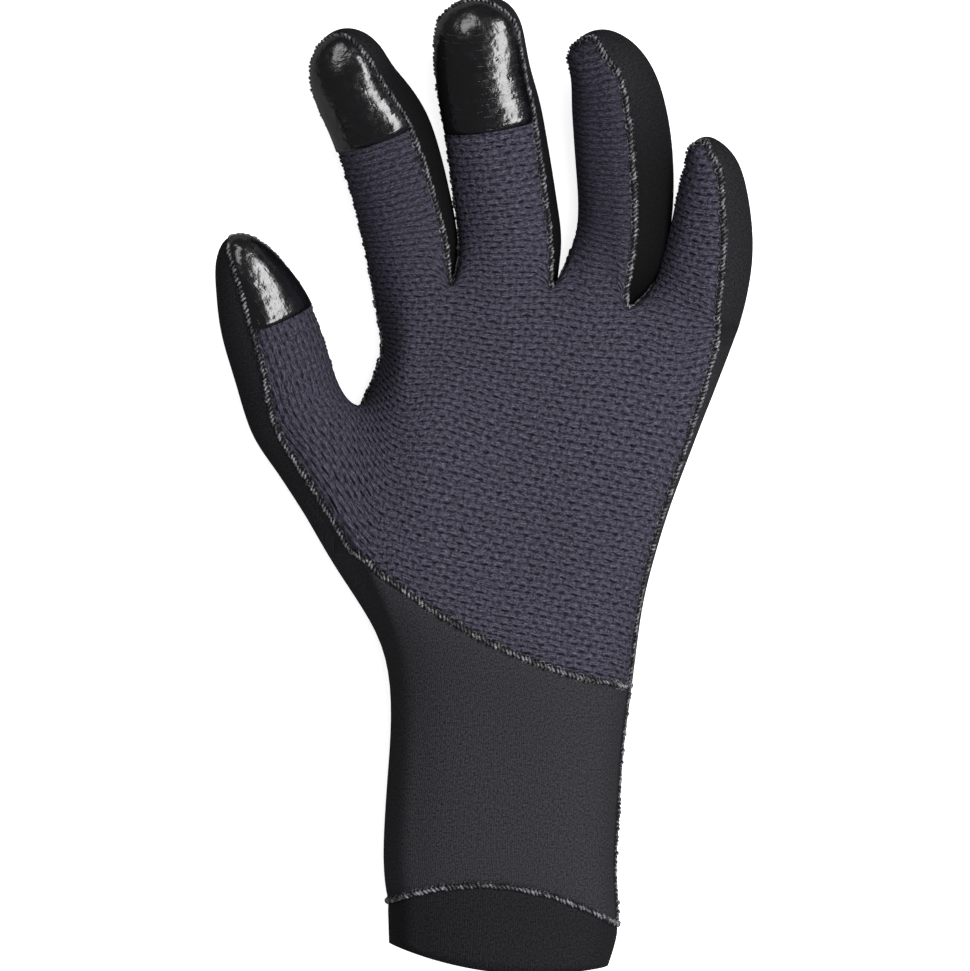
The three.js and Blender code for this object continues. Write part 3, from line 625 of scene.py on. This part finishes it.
def stations(path, closed, step):
    """Evenly spaced frames along a seam: matrices with X across it, Y along it and Z out of the cloth."""
    course = path + path[:1] if closed else path
    places = [v.co for v in course]
    normals = [v.normal for v in course]
    reached = [0.0]
    for a, b in zip(places, places[1:]):
        reached.append(reached[-1] + (b - a).length)
    count = max(2, round(reached[-1] / step))
    at, samples = 0, []
    for i in range(count if closed else count + 1):
        goal = reached[-1] * i / count
        while at < len(places) - 2 and reached[at + 1] < goal:
            at += 1
        share = (goal - reached[at]) / (reached[at + 1] - reached[at])
        samples.append((places[at].lerp(places[at + 1], share), normals[at].lerp(normals[at + 1], share)))
    frames = []
    for i, (place, normal) in enumerate(samples):
        ahead = samples[(i + 1) % len(samples) if closed else min(i + 1, len(samples) - 1)][0]
        behind = samples[i - 1 if closed else max(i - 1, 0)][0]
        along = (ahead - behind).normalized()
        across = along.cross(normal).normalized()
        turn = Matrix((across, along, across.cross(along))).transposed().to_4x4()
        frames.append(Matrix.Translation(place) @ turn)
    return frames


def grow_tube(bm, section, frames, closed):
    """Sweeps a closed section, given in X and Z, through the frames."""
    first = bmesh.ops.create_circle(bm, cap_ends=False, segments=len(section), radius=MM)["verts"]
    for vert, point in zip(first, section):
        vert.co = frames[0] @ point
    ring = first
    for frame_at in frames[1:]:
        ring = grow_ring(bm, ring, [frame_at @ point for point in section])[0]
    if closed:
        bmesh.ops.bridge_loops(bm, edges=ring_edges(bm, first) + ring_edges(bm, ring))
    else:
        for end in (first, ring):
            bmesh.ops.contextual_create(bm, geom=ring_edges(bm, end))


def oval(segments, width, height):
    """A section of the given width and height round its middle."""
    return [Vector((width / 2 * math.cos(turn), 0, height / 2 * math.sin(turn)))
            for turn in (2 * math.pi * k / segments for k in range(segments))]


CORE_WIDTH, CORE_HEIGHT = 0.9, 1.5  # shares of the ridge's
STITCH_SIZES = (0.8, 1.2)
STITCH_TURN = 14  # degrees
STITCH_SLIP = 0.15 * MM
THREAD_FLATNESS = 1.15
NEEDLE, PADDING_AND_HOLE_SHADE, LOOPER = 0, 1, 2  # a seam's material indices

# A stitch's threads as shares of the ridge's half width, of the pitch and of the ridge's height, with their
# thickness. Every stitch has a link of the chain along the top and a short loop into the smooth cloth. In the
# panel seam every second one also has a wide loop into the knit, and between two such loops a near-black blob
# of padding colour that paints the shade of the hole that the needle leaves.
CHAIN = ((-0.62, -0.55, 0.6, 0.85), (-0.2, -0.24, 1.1, 1.3), (0.22, 0.2, 1.1, 1.3), (0.6, 0.55, 0.6, 0.85))
SHORT_LOOP = ((0.45, 0.4, 0.55, 0.6), (0.98, 0.2, 0.3, 0.75), (1.06, -0.24, 0.0, 0.6))
WIDE_LOOP = ((-0.45, -0.66, 0.5, 0.8), (-0.98, -0.54, 0.22, 1.0), (-1.24, 0.0, 0.0, 1.05),
             (-1.0, 0.48, 0.22, 1.0), (-0.45, 0.58, 0.5, 0.8))
NEEDLE_HOLE_SHADE = ((-1.08, 0.86, -0.22, 1.25), (-1.04, 1.14, -0.22, 1.25))


def thread_tube(bm, thread, line, segments, slot):
    """A short piece of thread through the points of a line given in shares."""
    known = set(bm.faces)
    places = [Vector((x * thread.ridge_width / 2, y * thread.pitch, z * thread.ridge_height))
              for x, y, z, _ in line]
    frames = []
    for i, here in enumerate(places):
        along = (places[min(i + 1, len(places) - 1)] - places[max(i - 1, 0)]).normalized()
        frames.append(Matrix.Translation(here) @ along.to_track_quat("Y", "Z").to_matrix().to_4x4()
                      @ Matrix.Scale(line[i][3], 4))
    grow_tube(bm, oval(segments, thread.thread * THREAD_FLATNESS, thread.thread), frames, False)
    for face in set(bm.faces) - known:
        face.material_index = slot


def stitch_mesh(thread, looped):
    """One stitch of the overlock seam, round the origin of its frame."""
    bm = bmesh.new()
    if looped:
        # A near-black blob that paints the shade of the needle's hole
        thread_tube(bm, thread, NEEDLE_HOLE_SHADE, 6, PADDING_AND_HOLE_SHADE)
        thread_tube(bm, thread, WIDE_LOOP, 4, LOOPER)
    thread_tube(bm, thread, CHAIN, 5, NEEDLE)
    thread_tube(bm, thread, SHORT_LOOP, 4, LOOPER)
    bmesh.ops.recalc_face_normals(bm, faces=bm.faces)
    mesh = bpy.data.meshes.new("stitch")
    bm.to_mesh(mesh)
    bm.free()
    return mesh


def sew(context, name, seam, seed):
    """A raised overlock seam: its padded ridge and the stitches along it."""
    scene = context.scene
    thread = scene.glove_thread
    skin = bmesh.new()
    skin.from_mesh(skin_mesh(scene))
    skin.normal_update()
    path, closed = seam_path(seam_edges(skin, seam))
    knit = [f for f in path[0].link_faces if f.material_index in KNIT]
    start = stations(path, closed, thread.pitch)[0]
    if knit and (start.inverted() @ knit[0].calc_center_median()).x > 0:
        path.reverse()
    bm = bmesh.new()
    core = oval(8, thread.ridge_width * CORE_WIDTH, thread.ridge_height * CORE_HEIGHT)
    grow_tube(bm, core, stations(path, closed, thread.pitch / 2), closed)
    bmesh.ops.recalc_face_normals(bm, faces=bm.faces)
    for face in bm.faces:
        face.material_index = PADDING_AND_HOLE_SHADE
    stitches = [stitch_mesh(thread, looped) for looped in (False, seam == "panel_seam")]
    uneven = random.Random(seed)
    for i, frame_at in enumerate(stations(path, closed, thread.pitch)):
        size = uneven.uniform(*STITCH_SIZES)
        turn = Matrix.Rotation(math.radians(uneven.uniform(-STITCH_TURN, STITCH_TURN)), 4, "Z")
        slip = Matrix.Translation([uneven.uniform(-STITCH_SLIP, STITCH_SLIP) for _ in range(3)])
        one = stitches[i % 2].copy()
        one.transform(frame_at @ slip @ turn @ Matrix.Diagonal((size, 1, size, 1)))
        bm.from_mesh(one)
        bpy.data.meshes.remove(one)
    for stitch in stitches:
        bpy.data.meshes.remove(stitch)
    skin.free()
    colour = Vector(scene.glove_finish.thread)
    return add_piece(context, name, bm, (seam,),
                     (thread_material("Needle thread", colour),
                      padding_material("Seam padding", colour * PADDING_SHADE),
                      thread_material("Looper thread", colour * LOOPER_SHADE)))


# --- materials ---

WAVER_SCALE = 300.0
KNIT_WAVER, JERSEY_WAVER = 0.0013, 0.0003  # metres, as are the grains
KNIT_GRAIN, KNIT_FIBRE, JERSEY_FIBRE, THREAD_FIBRE, PADDING_GRAIN = 0.0005, 0.00048, 0.0006, 0.0006, 0.0005
THREAD_GLINT_PATCHES, COATING_MOTTLE = 0.0022, 0.0024
FIBRE_DRAW = 0.32  # the knit's fibres are longer along its rows
STRANDS = 3  # in a row of the knit
# How much each part of the knit lowers or lifts the cloth, and how much it darkens it; the darkening by the
# dash, the tick and the border is painted shade in the knit's hollows
KNIT_RELIEF = {"tick": 0.4, "border": 0.45, "strands": 0.06, "fine": 0.5, "fibre": 0.9}
KNIT_SHADE = {"dash": 0.68, "tick": 0.4, "border": 0.2, "drawn_border": 0.16, "most": 0.9, "strands": 0.09,
              "drawn": 0.26}
# How far the full painted shade between the digits darkens the smooth cloth
DIGIT_SHADE_DEPTH = 0.88
# The padding's near-black colour also paints the shade of the needle holes
PADDING_SHADE, LOOPER_SHADE = 0.13, 0.5  # shares of the thread's colour


def wire(tree, kind, inputs=(), **settings):
    """Adds a node, sets it up and joins its inputs."""
    node = tree.nodes.new(kind)
    for key, value in settings.items():
        setattr(node, key, value)
    for key, value in dict(inputs).items():
        if isinstance(value, bpy.types.NodeSocket):
            tree.links.new(value, node.inputs[key])
        else:
            node.inputs[key].default_value = value
    return node


def calc(tree, operation, *values):
    return wire(tree, "ShaderNodeMath", enumerate(values), operation=operation).outputs[0]


def times(tree, a, b):
    return calc(tree, "MULTIPLY", a, b)


def ramp(tree, value, slope, start):
    return calc(tree, "MULTIPLY_ADD", value, slope, start)


def ease(tree, value, low, high):
    """0 below low, 1 above high, smooth between."""
    return wire(tree, "ShaderNodeMapRange", {"Value": value, "From Min": low, "From Max": high},
                interpolation_type="SMOOTHSTEP").outputs[0]


def new_group(name, inputs, outputs):
    """A shader node group whose sockets are plain numbers. Gives it with its input and output nodes."""
    group = bpy.data.node_groups.new(name, "ShaderNodeTree")
    for key, value in inputs:
        group.interface.new_socket(key, in_out="INPUT", socket_type="NodeSocketFloat").default_value = value
    for key in outputs:
        group.interface.new_socket(key, in_out="OUTPUT", socket_type="NodeSocketFloat")
    return group, wire(group, "NodeGroupInput").outputs, wire(group, "NodeGroupOutput").inputs


def weave_vector(tree, waver):
    """The weave coordinates, with a little waver in them."""
    uv = wire(tree, "ShaderNodeUVMap", uv_map="weave").outputs["UV"]
    drift = wire(tree, "ShaderNodeTexNoise", {"Vector": uv, "Scale": WAVER_SCALE, "Detail": 1.0})
    drift = drift.outputs["Color"]
    moved = wire(tree, "ShaderNodeVectorMath", {0: drift, 1: (waver,) * 3, 2: uv}, operation="MULTIPLY_ADD")
    return wire(tree, "ShaderNodeSeparateXYZ", {0: moved.outputs[0]}).outputs, uv


def grain(tree, vector, size, detail=1.0):
    return wire(tree, "ShaderNodeTexNoise", {"Vector": vector, "Scale": 1 / size, "Detail": detail}).outputs[0]


def speckle(tree, fibre, contrast, offset, least):
    """A grain as a shade that never falls under the least."""
    return calc(tree, "MAXIMUM", ramp(tree, fibre, contrast, offset), least)


def cloth_value(tree, axis):
    """A value of the stretch and shade map: X is the knit's draw, Y the painted shade on the smooth cloth."""
    both = wire(tree, "ShaderNodeUVMap", uv_map="stretch").outputs["UV"]
    return wire(tree, "ShaderNodeSeparateXYZ", {0: both}).outputs[axis]


def off_middle(tree, share):
    """0 in the middle of a cell or a row, 1 at both of its ends."""
    return times(tree, calc(tree, "ABSOLUTE", calc(tree, "SUBTRACT", share, 0.5)), 2.0)


def knit_cells():
    """Brick-laid knit cells: how high the cloth stands, and how light it is, from 0 to 1."""
    known = bpy.data.node_groups.get("Knit cells")
    if known:
        return known
    tree, given, out = new_group("Knit cells", (("Cell width", 0.0042), ("Cell height", 0.00205)),
                                 ("Height", "Shade"))
    moved, uv = weave_vector(tree, KNIT_WAVER)
    pulled = cloth_value(tree, "X")
    loose = calc(tree, "MAXIMUM", ramp(tree, pulled, -0.6, 1.0), 0.0)
    across = calc(tree, "DIVIDE", moved["X"], given["Cell width"])
    up = calc(tree, "DIVIDE", moved["Y"], given["Cell height"])
    row = calc(tree, "FLOOR", up)
    in_row = calc(tree, "FRACT", up)
    shifted = calc(tree, "ADD", across, calc(tree, "FRACT", times(tree, row, 0.5)))
    in_cell = calc(tree, "FRACT", shifted)
    cell = wire(tree, "ShaderNodeCombineXYZ", {0: calc(tree, "FLOOR", shifted), 1: row}).outputs[0]
    chance = wire(tree, "ShaderNodeTexWhiteNoise", {"Vector": cell}).outputs["Value"]
    from_middle = off_middle(tree, in_cell)
    border = ease(tree, off_middle(tree, in_row), 0.35, 1.0)
    under = calc(tree, "SUBTRACT", 1.0, ease(tree, in_row, 0.04, 0.42))
    dash = times(tree, under, calc(tree, "SUBTRACT", 1.0, ease(tree, from_middle, 0.25, 0.8)))
    dash = times(tree, dash, ramp(tree, chance, 0.6, 0.7))
    dash = times(tree, dash, loose)
    tick = times(tree, ease(tree, from_middle, 0.6, 1.0), loose)
    strands = calc(tree, "SINE", times(tree, up, STRANDS * 2 * math.pi))
    fine = grain(tree, uv, KNIT_GRAIN)
    long = wire(tree, "ShaderNodeMapping", {0: uv, "Scale": (FIBRE_DRAW, 1.0, 1.0)}).outputs[0]
    fibre = grain(tree, long, KNIT_FIBRE)
    low = ramp(tree, tick, KNIT_RELIEF["tick"], dash)
    low = ramp(tree, border, KNIT_RELIEF["border"], low)
    height = calc(tree, "SUBTRACT", 1.0, low)
    for part, name in ((strands, "strands"), (fine, "fine"), (fibre, "fibre")):
        height = ramp(tree, part, KNIT_RELIEF[name], height)
    tree.links.new(height, out["Height"])
    # Painted shade: a shadow under each cell (the dash), and shade in the gaps between cells (tick) and rows
    # (border)
    dark = times(tree, dash, KNIT_SHADE["dash"])
    dark = ramp(tree, tick, KNIT_SHADE["tick"], dark)
    drawn = ramp(tree, pulled, KNIT_SHADE["drawn_border"], KNIT_SHADE["border"])
    dark = ramp(tree, border, drawn, dark)
    shade = calc(tree, "SUBTRACT", 1.0, calc(tree, "MINIMUM", dark, KNIT_SHADE["most"]))
    for part, share in ((strands, KNIT_SHADE["strands"]), (pulled, -KNIT_SHADE["drawn"])):
        shade = times(tree, shade, ramp(tree, part, share, 1.0))
    speck = times(tree, ramp(tree, fibre, 3.0, -0.5), ramp(tree, fine, 2.4, -0.2))
    tree.links.new(times(tree, shade, calc(tree, "MAXIMUM", speck, 0.1)), out["Shade"])
    return tree


def jersey():
    """Fine ribs of a smooth jersey facing: how high the cloth stands, and how light it is, from 0 to 1."""
    known = bpy.data.node_groups.get("Jersey")
    if known:
        return known
    tree, given, out = new_group("Jersey", (("Rib pitch", 0.0007),), ("Height", "Shade"))
    moved, uv = weave_vector(tree, JERSEY_WAVER)
    turns = times(tree, calc(tree, "DIVIDE", moved["X"], given["Rib pitch"]), 2 * math.pi)
    rib = calc(tree, "SINE", turns)
    fibre = grain(tree, uv, JERSEY_FIBRE)
    tree.links.new(ramp(tree, rib, 0.3, fibre), out["Height"])
    speck = speckle(tree, fibre, 2.7, -0.35, 0.15)
    speck = times(tree, speck, ramp(tree, rib, 0.1, 1.0))
    # Painted shade on the digits' smooth cloth, deepest between them
    light = ramp(tree, cloth_value(tree, "Y"), -DIGIT_SHADE_DEPTH, 1.0)
    tree.links.new(times(tree, speck, light), out["Shade"])
    return tree


def new_material(name, roughness, specular):
    material = bpy.data.materials.new(name)
    material.use_nodes = True
    shader = material.node_tree.nodes["Principled BSDF"]
    shader.inputs["Roughness"].default_value = roughness
    shader.inputs["Specular IOR Level"].default_value = specular
    return material, material.node_tree, shader


def made_once(build):
    """Lets a builder, which takes the material's name first, give the one that is there already."""
    def known_or_new(name, *values):
        return bpy.data.materials.get(name) or build(name, *values)

    return known_or_new


def colour_by(tree, shader, colour, shade):
    """Scales a colour by a pattern and gives it to the shader."""
    scaled = wire(tree, "ShaderNodeVectorMath", {0: tuple(colour), "Scale": shade}, operation="SCALE")
    tree.links.new(scaled.outputs[0], shader.inputs["Base Color"])


def bump_by(tree, shader, height, distance):
    bump = wire(tree, "ShaderNodeBump", {"Height": height, "Distance": distance, "Strength": 1.0})
    tree.links.new(bump.outputs[0], shader.inputs["Normal"])


def knit_pattern(tree, finish):
    """The height and the shade of the knit's cells, at the finish's sizes."""
    cells = wire(tree, "ShaderNodeGroup", node_tree=knit_cells())
    cells.inputs["Cell width"].default_value = finish.cell_width
    cells.inputs["Cell height"].default_value = finish.cell_height
    return cells.outputs


@made_once
def knit_material(name, finish):
    material, tree, shader = new_material(name, 0.8, 0.2)
    cells = knit_pattern(tree, finish)
    colour_by(tree, shader, finish.knit, cells["Shade"])
    bump_by(tree, shader, cells["Height"], 0.35 * MM)
    return material


@made_once
def smooth_material(name, colour):
    material, tree, shader = new_material(name, 0.75, 0.2)
    facing = wire(tree, "ShaderNodeGroup", node_tree=jersey())
    colour_by(tree, shader, colour, facing.outputs["Shade"])
    bump_by(tree, shader, facing.outputs["Height"], 0.08 * MM)
    return material


@made_once
def thread_material(name, colour):
    material, tree, shader = new_material(name, 0.36, 0.6)
    place = wire(tree, "ShaderNodeTexCoord").outputs["Object"]
    # Brighter flecks and patches along the thread: painted glints, over its uneven tone
    fibre = grain(tree, place, THREAD_FIBRE, 2.0)
    glint_patches = ease(tree, grain(tree, place, THREAD_GLINT_PATCHES), 0.4, 0.64)
    shade = times(tree, speckle(tree, fibre, 4.0, -1.0, 0.1), ramp(tree, glint_patches, 1.5, 0.3))
    colour_by(tree, shader, colour, shade)
    bump_by(tree, shader, fibre, 0.25 * MM)
    return material


@made_once
def padding_material(name, colour):
    material, tree, shader = new_material(name, 0.9, 0.1)
    place = wire(tree, "ShaderNodeTexCoord").outputs["Object"]
    colour_by(tree, shader, colour, calc(tree, "ADD", grain(tree, place, PADDING_GRAIN), 0.5))
    return material


@made_once
def coating_material(name, finish):
    material, tree, shader = new_material(name, 0.16, 1.0)
    shader.inputs["IOR"].default_value = 1.8
    shader.inputs["Base Color"].default_value = (*finish.coating, 1)
    place = wire(tree, "ShaderNodeTexCoord").outputs["Object"]
    mottle = grain(tree, place, COATING_MOTTLE, 2.0)
    relief = ramp(tree, knit_pattern(tree, finish)["Height"], 0.08, mottle)
    bump_by(tree, shader, relief, 0.24 * MM)
    tree.links.new(ramp(tree, mottle, 0.3, 0.06), shader.inputs["Roughness"])
    return material


# --- operators ---


def add_cloth(context, name, labels, node, outer):
    """Makes a panel of the skin into a piece with its neoprene wall, lined inside."""
    scene = context.scene
    lining = smooth_material("Lining", scene.glove_finish.lining)
    piece = add_piece(context, name, panel_of(scene, labels), (node,), (outer, lining))
    thicken(piece, scene.glove_shape.neoprene, False, 1)
    return {"FINISHED"}


class GLOVE_OT_palm(bpy.types.Operator):
    """Models the knitted palm panel"""

    bl_idname = "glove.palm"
    bl_label = "Palm cloth"

    def execute(self, context):
        outer = knit_material("Knitted palm cloth", context.scene.glove_finish)
        return add_cloth(context, "palm_cloth", KNIT, "palm_panel", outer)


class GLOVE_OT_back(bpy.types.Operator):
    """Models the smooth back panel, which wraps round to the front of the wrist"""

    bl_idname = "glove.back"
    bl_label = "Back cloth"

    def execute(self, context):
        outer = smooth_material("Smooth neoprene", context.scene.glove_finish.neoprene)
        return add_cloth(context, "back_cloth", (BACK,), "back_panel", outer)


class GLOVE_OT_cuff_band(bpy.types.Operator):
    """Models the turned band of the cuff opening"""

    bl_idname = "glove.cuff_band"
    bl_label = "Cuff band"

    def execute(self, context):
        outer = smooth_material("Cuff band", context.scene.glove_finish.band)
        return add_cloth(context, "cuff_band_cloth", (BAND,), "cuff_band", outer)


class GLOVE_OT_coatings(bpy.types.Operator):
    """Models the glossy coatings of the index finger, the middle finger and the thumb"""

    bl_idname = "glove.coatings"
    bl_label = "Fingertip coatings"

    def execute(self, context):
        scene = context.scene
        gloss = coating_material("Fingertip coating", scene.glove_finish)
        for digit, label in COATED.items():
            piece = add_piece(context, digit + "_coating", panel_of(scene, (label,)),
                              (digit + "_fingertip_patch",), (gloss,))
            thicken(piece, scene.glove_shape.coating, True, 0)
        return {"FINISHED"}


class GLOVE_OT_stitching(bpy.types.Operator):
    """Models the raised seams with their stitches"""

    bl_idname = "glove.stitching"
    bl_label = "Stitching"

    def execute(self, context):
        sew(context, "panel_stitching", "panel_seam", 11)
        sew(context, "side_stitching", "side_seam", 12)
        sew(context, "hem_stitching", "hem_seam", 13)
        return {"FINISHED"}


# Name, degrees from the zenith, degrees round from +X, metres away, size in metres, radiance, and whether the
# glossy coatings mirror it
SOFTBOXES = (
    ("top_softbox", 19, 5, 1.3, (0.8, 0.9), 5.4, False),
    ("right_softbox", 38, 0, 1.0, (0.4, 1.5), 4.3, True),
    ("tip_softbox", 41, 128, 1.2, (0.5, 0.8), 1.7, True),
    ("wrist_softbox", 70, -90, 1.3, (0.35, 1.6), 2.2, False),
)
FLOOR_BOUNCE = 0.17  # share of the floor's brightness that lights the glove
FLOOR_GLOW = 0.82  # keeps the floor pale beside the glove
FLOOR_REACH = 6
FLOOR_DROP = 0.0002  # keeps the floor clear of the glove's own flat back
SKY_SEEN, SKY_LIGHT = 0.9, 0.05


def softbox(scene, name, zenith, azimuth, away, size, radiance, mirrored):
    """A rectangular light aimed at the glove. azimuth is degrees from +X towards +Y."""
    data = bpy.data.lights.new(name, "AREA")
    data.shape = "RECTANGLE"
    data.size, data.size_y = size
    data.energy = radiance * math.pi * size[0] * size[1]
    light = bpy.data.objects.new(name, data)
    tilt, turn = math.radians(zenith), math.radians(azimuth)
    towards = Vector((math.sin(tilt) * math.cos(turn), math.sin(tilt) * math.sin(turn), math.cos(tilt)))
    light.location = towards * away
    light.rotation_euler = (0, tilt, turn)
    light.visible_camera = False
    light.visible_glossy = mirrored
    scene.collection.objects.link(light)


class GLOVE_OT_stage(bpy.types.Operator):
    """Adds the pale floor, the soft lights and the camera over the palm"""

    bl_idname = "glove.stage"
    bl_label = "Stage"

    def execute(self, context):
        scene = context.scene
        look = scene.glove_stage
        bm = bmesh.new()
        bmesh.ops.create_grid(bm, x_segments=1, y_segments=1, size=FLOOR_REACH)
        mesh = bpy.data.meshes.new("floor")
        bm.to_mesh(mesh)
        bm.free()
        material, tree, shader = new_material("Pale floor", 0.9, 0.1)
        seen = wire(tree, "ShaderNodeLightPath").outputs["Is Camera Ray"]
        colour_by(tree, shader, look.floor, ramp(tree, seen, 1 - FLOOR_BOUNCE, FLOOR_BOUNCE))
        shader.inputs["Emission Color"].default_value = (1, 1, 1, 1)
        tree.links.new(times(tree, seen, FLOOR_GLOW), shader.inputs["Emission Strength"])
        mesh.materials.append(material)
        floor = bpy.data.objects.new("floor", mesh)
        floor.location.z = -FLOOR_DROP
        scene.collection.objects.link(floor)

        for name, *light in SOFTBOXES:
            softbox(scene, name, *light)

        world = bpy.data.worlds.new("Studio")
        world.use_nodes = True
        tree = world.node_tree
        seen = wire(tree, "ShaderNodeLightPath").outputs["Is Camera Ray"]
        tree.links.new(ramp(tree, seen, SKY_SEEN - SKY_LIGHT, SKY_LIGHT),
                       tree.nodes["Background"].inputs["Strength"])
        tree.nodes["Background"].inputs["Color"].default_value = (1, 1, 1, 1)
        scene.world = world

        data = bpy.data.cameras.new("camera")
        camera = bpy.data.objects.new("camera", data)
        middle = 0.5 * PIXEL
        camera.location = (middle, -middle, look.camera_height)
        data.sensor_fit = "HORIZONTAL"
        data.lens = data.sensor_width * (look.camera_height - look.glove_level) / (PICTURE_WIDTH * PIXEL)
        data.clip_end = 20
        scene.collection.objects.link(camera)
        scene.camera = camera
        scene.view_settings.view_transform = "Standard"
        return {"FINISHED"}


class GLOVE_PT_panel(bpy.types.Panel):
    """Lists the glove's pieces and their settings"""

    bl_label = "Diving glove"
    bl_idname = "GLOVE_PT_panel"
    bl_space_type = "VIEW_3D"
    bl_region_type = "UI"
    bl_category = "Glove"

    def draw(self, context):
        for settings in SETTINGS:
            group = getattr(context.scene, settings)
            for key in group.bl_rna.properties.keys():
                if key not in ("rna_type", "name"):
                    self.layout.prop(group, key)
        for operator in OPERATORS:
            self.layout.operator(operator.bl_idname)


SETTINGS = {"glove_shape": GloveShape, "glove_thread": GloveThread, "glove_finish": GloveFinish,
            "glove_stage": GloveStage}
OPERATORS = (GLOVE_OT_palm, GLOVE_OT_back, GLOVE_OT_cuff_band, GLOVE_OT_coatings, GLOVE_OT_stitching,
             GLOVE_OT_stage)


def register():
    for cls in (*SETTINGS.values(), *OPERATORS, GLOVE_PT_panel):
        bpy.utils.register_class(cls)
    for name, cls in SETTINGS.items():
        setattr(bpy.types.Scene, name, PointerProperty(type=cls))


def unregister():
    for name in SETTINGS:
        delattr(bpy.types.Scene, name)
    for cls in reversed((*SETTINGS.values(), *OPERATORS, GLOVE_PT_panel)):
        bpy.utils.unregister_class(cls)


def main():
    register()
    bpy.ops.glove.palm()
    bpy.ops.glove.back()
    bpy.ops.glove.cuff_band()
    bpy.ops.glove.coatings()
    bpy.ops.glove.stitching()
    bpy.ops.glove.stage()
    bpy.data.meshes.remove(bpy.data.meshes[SKIN])


if __name__ == "__main__":
    main()
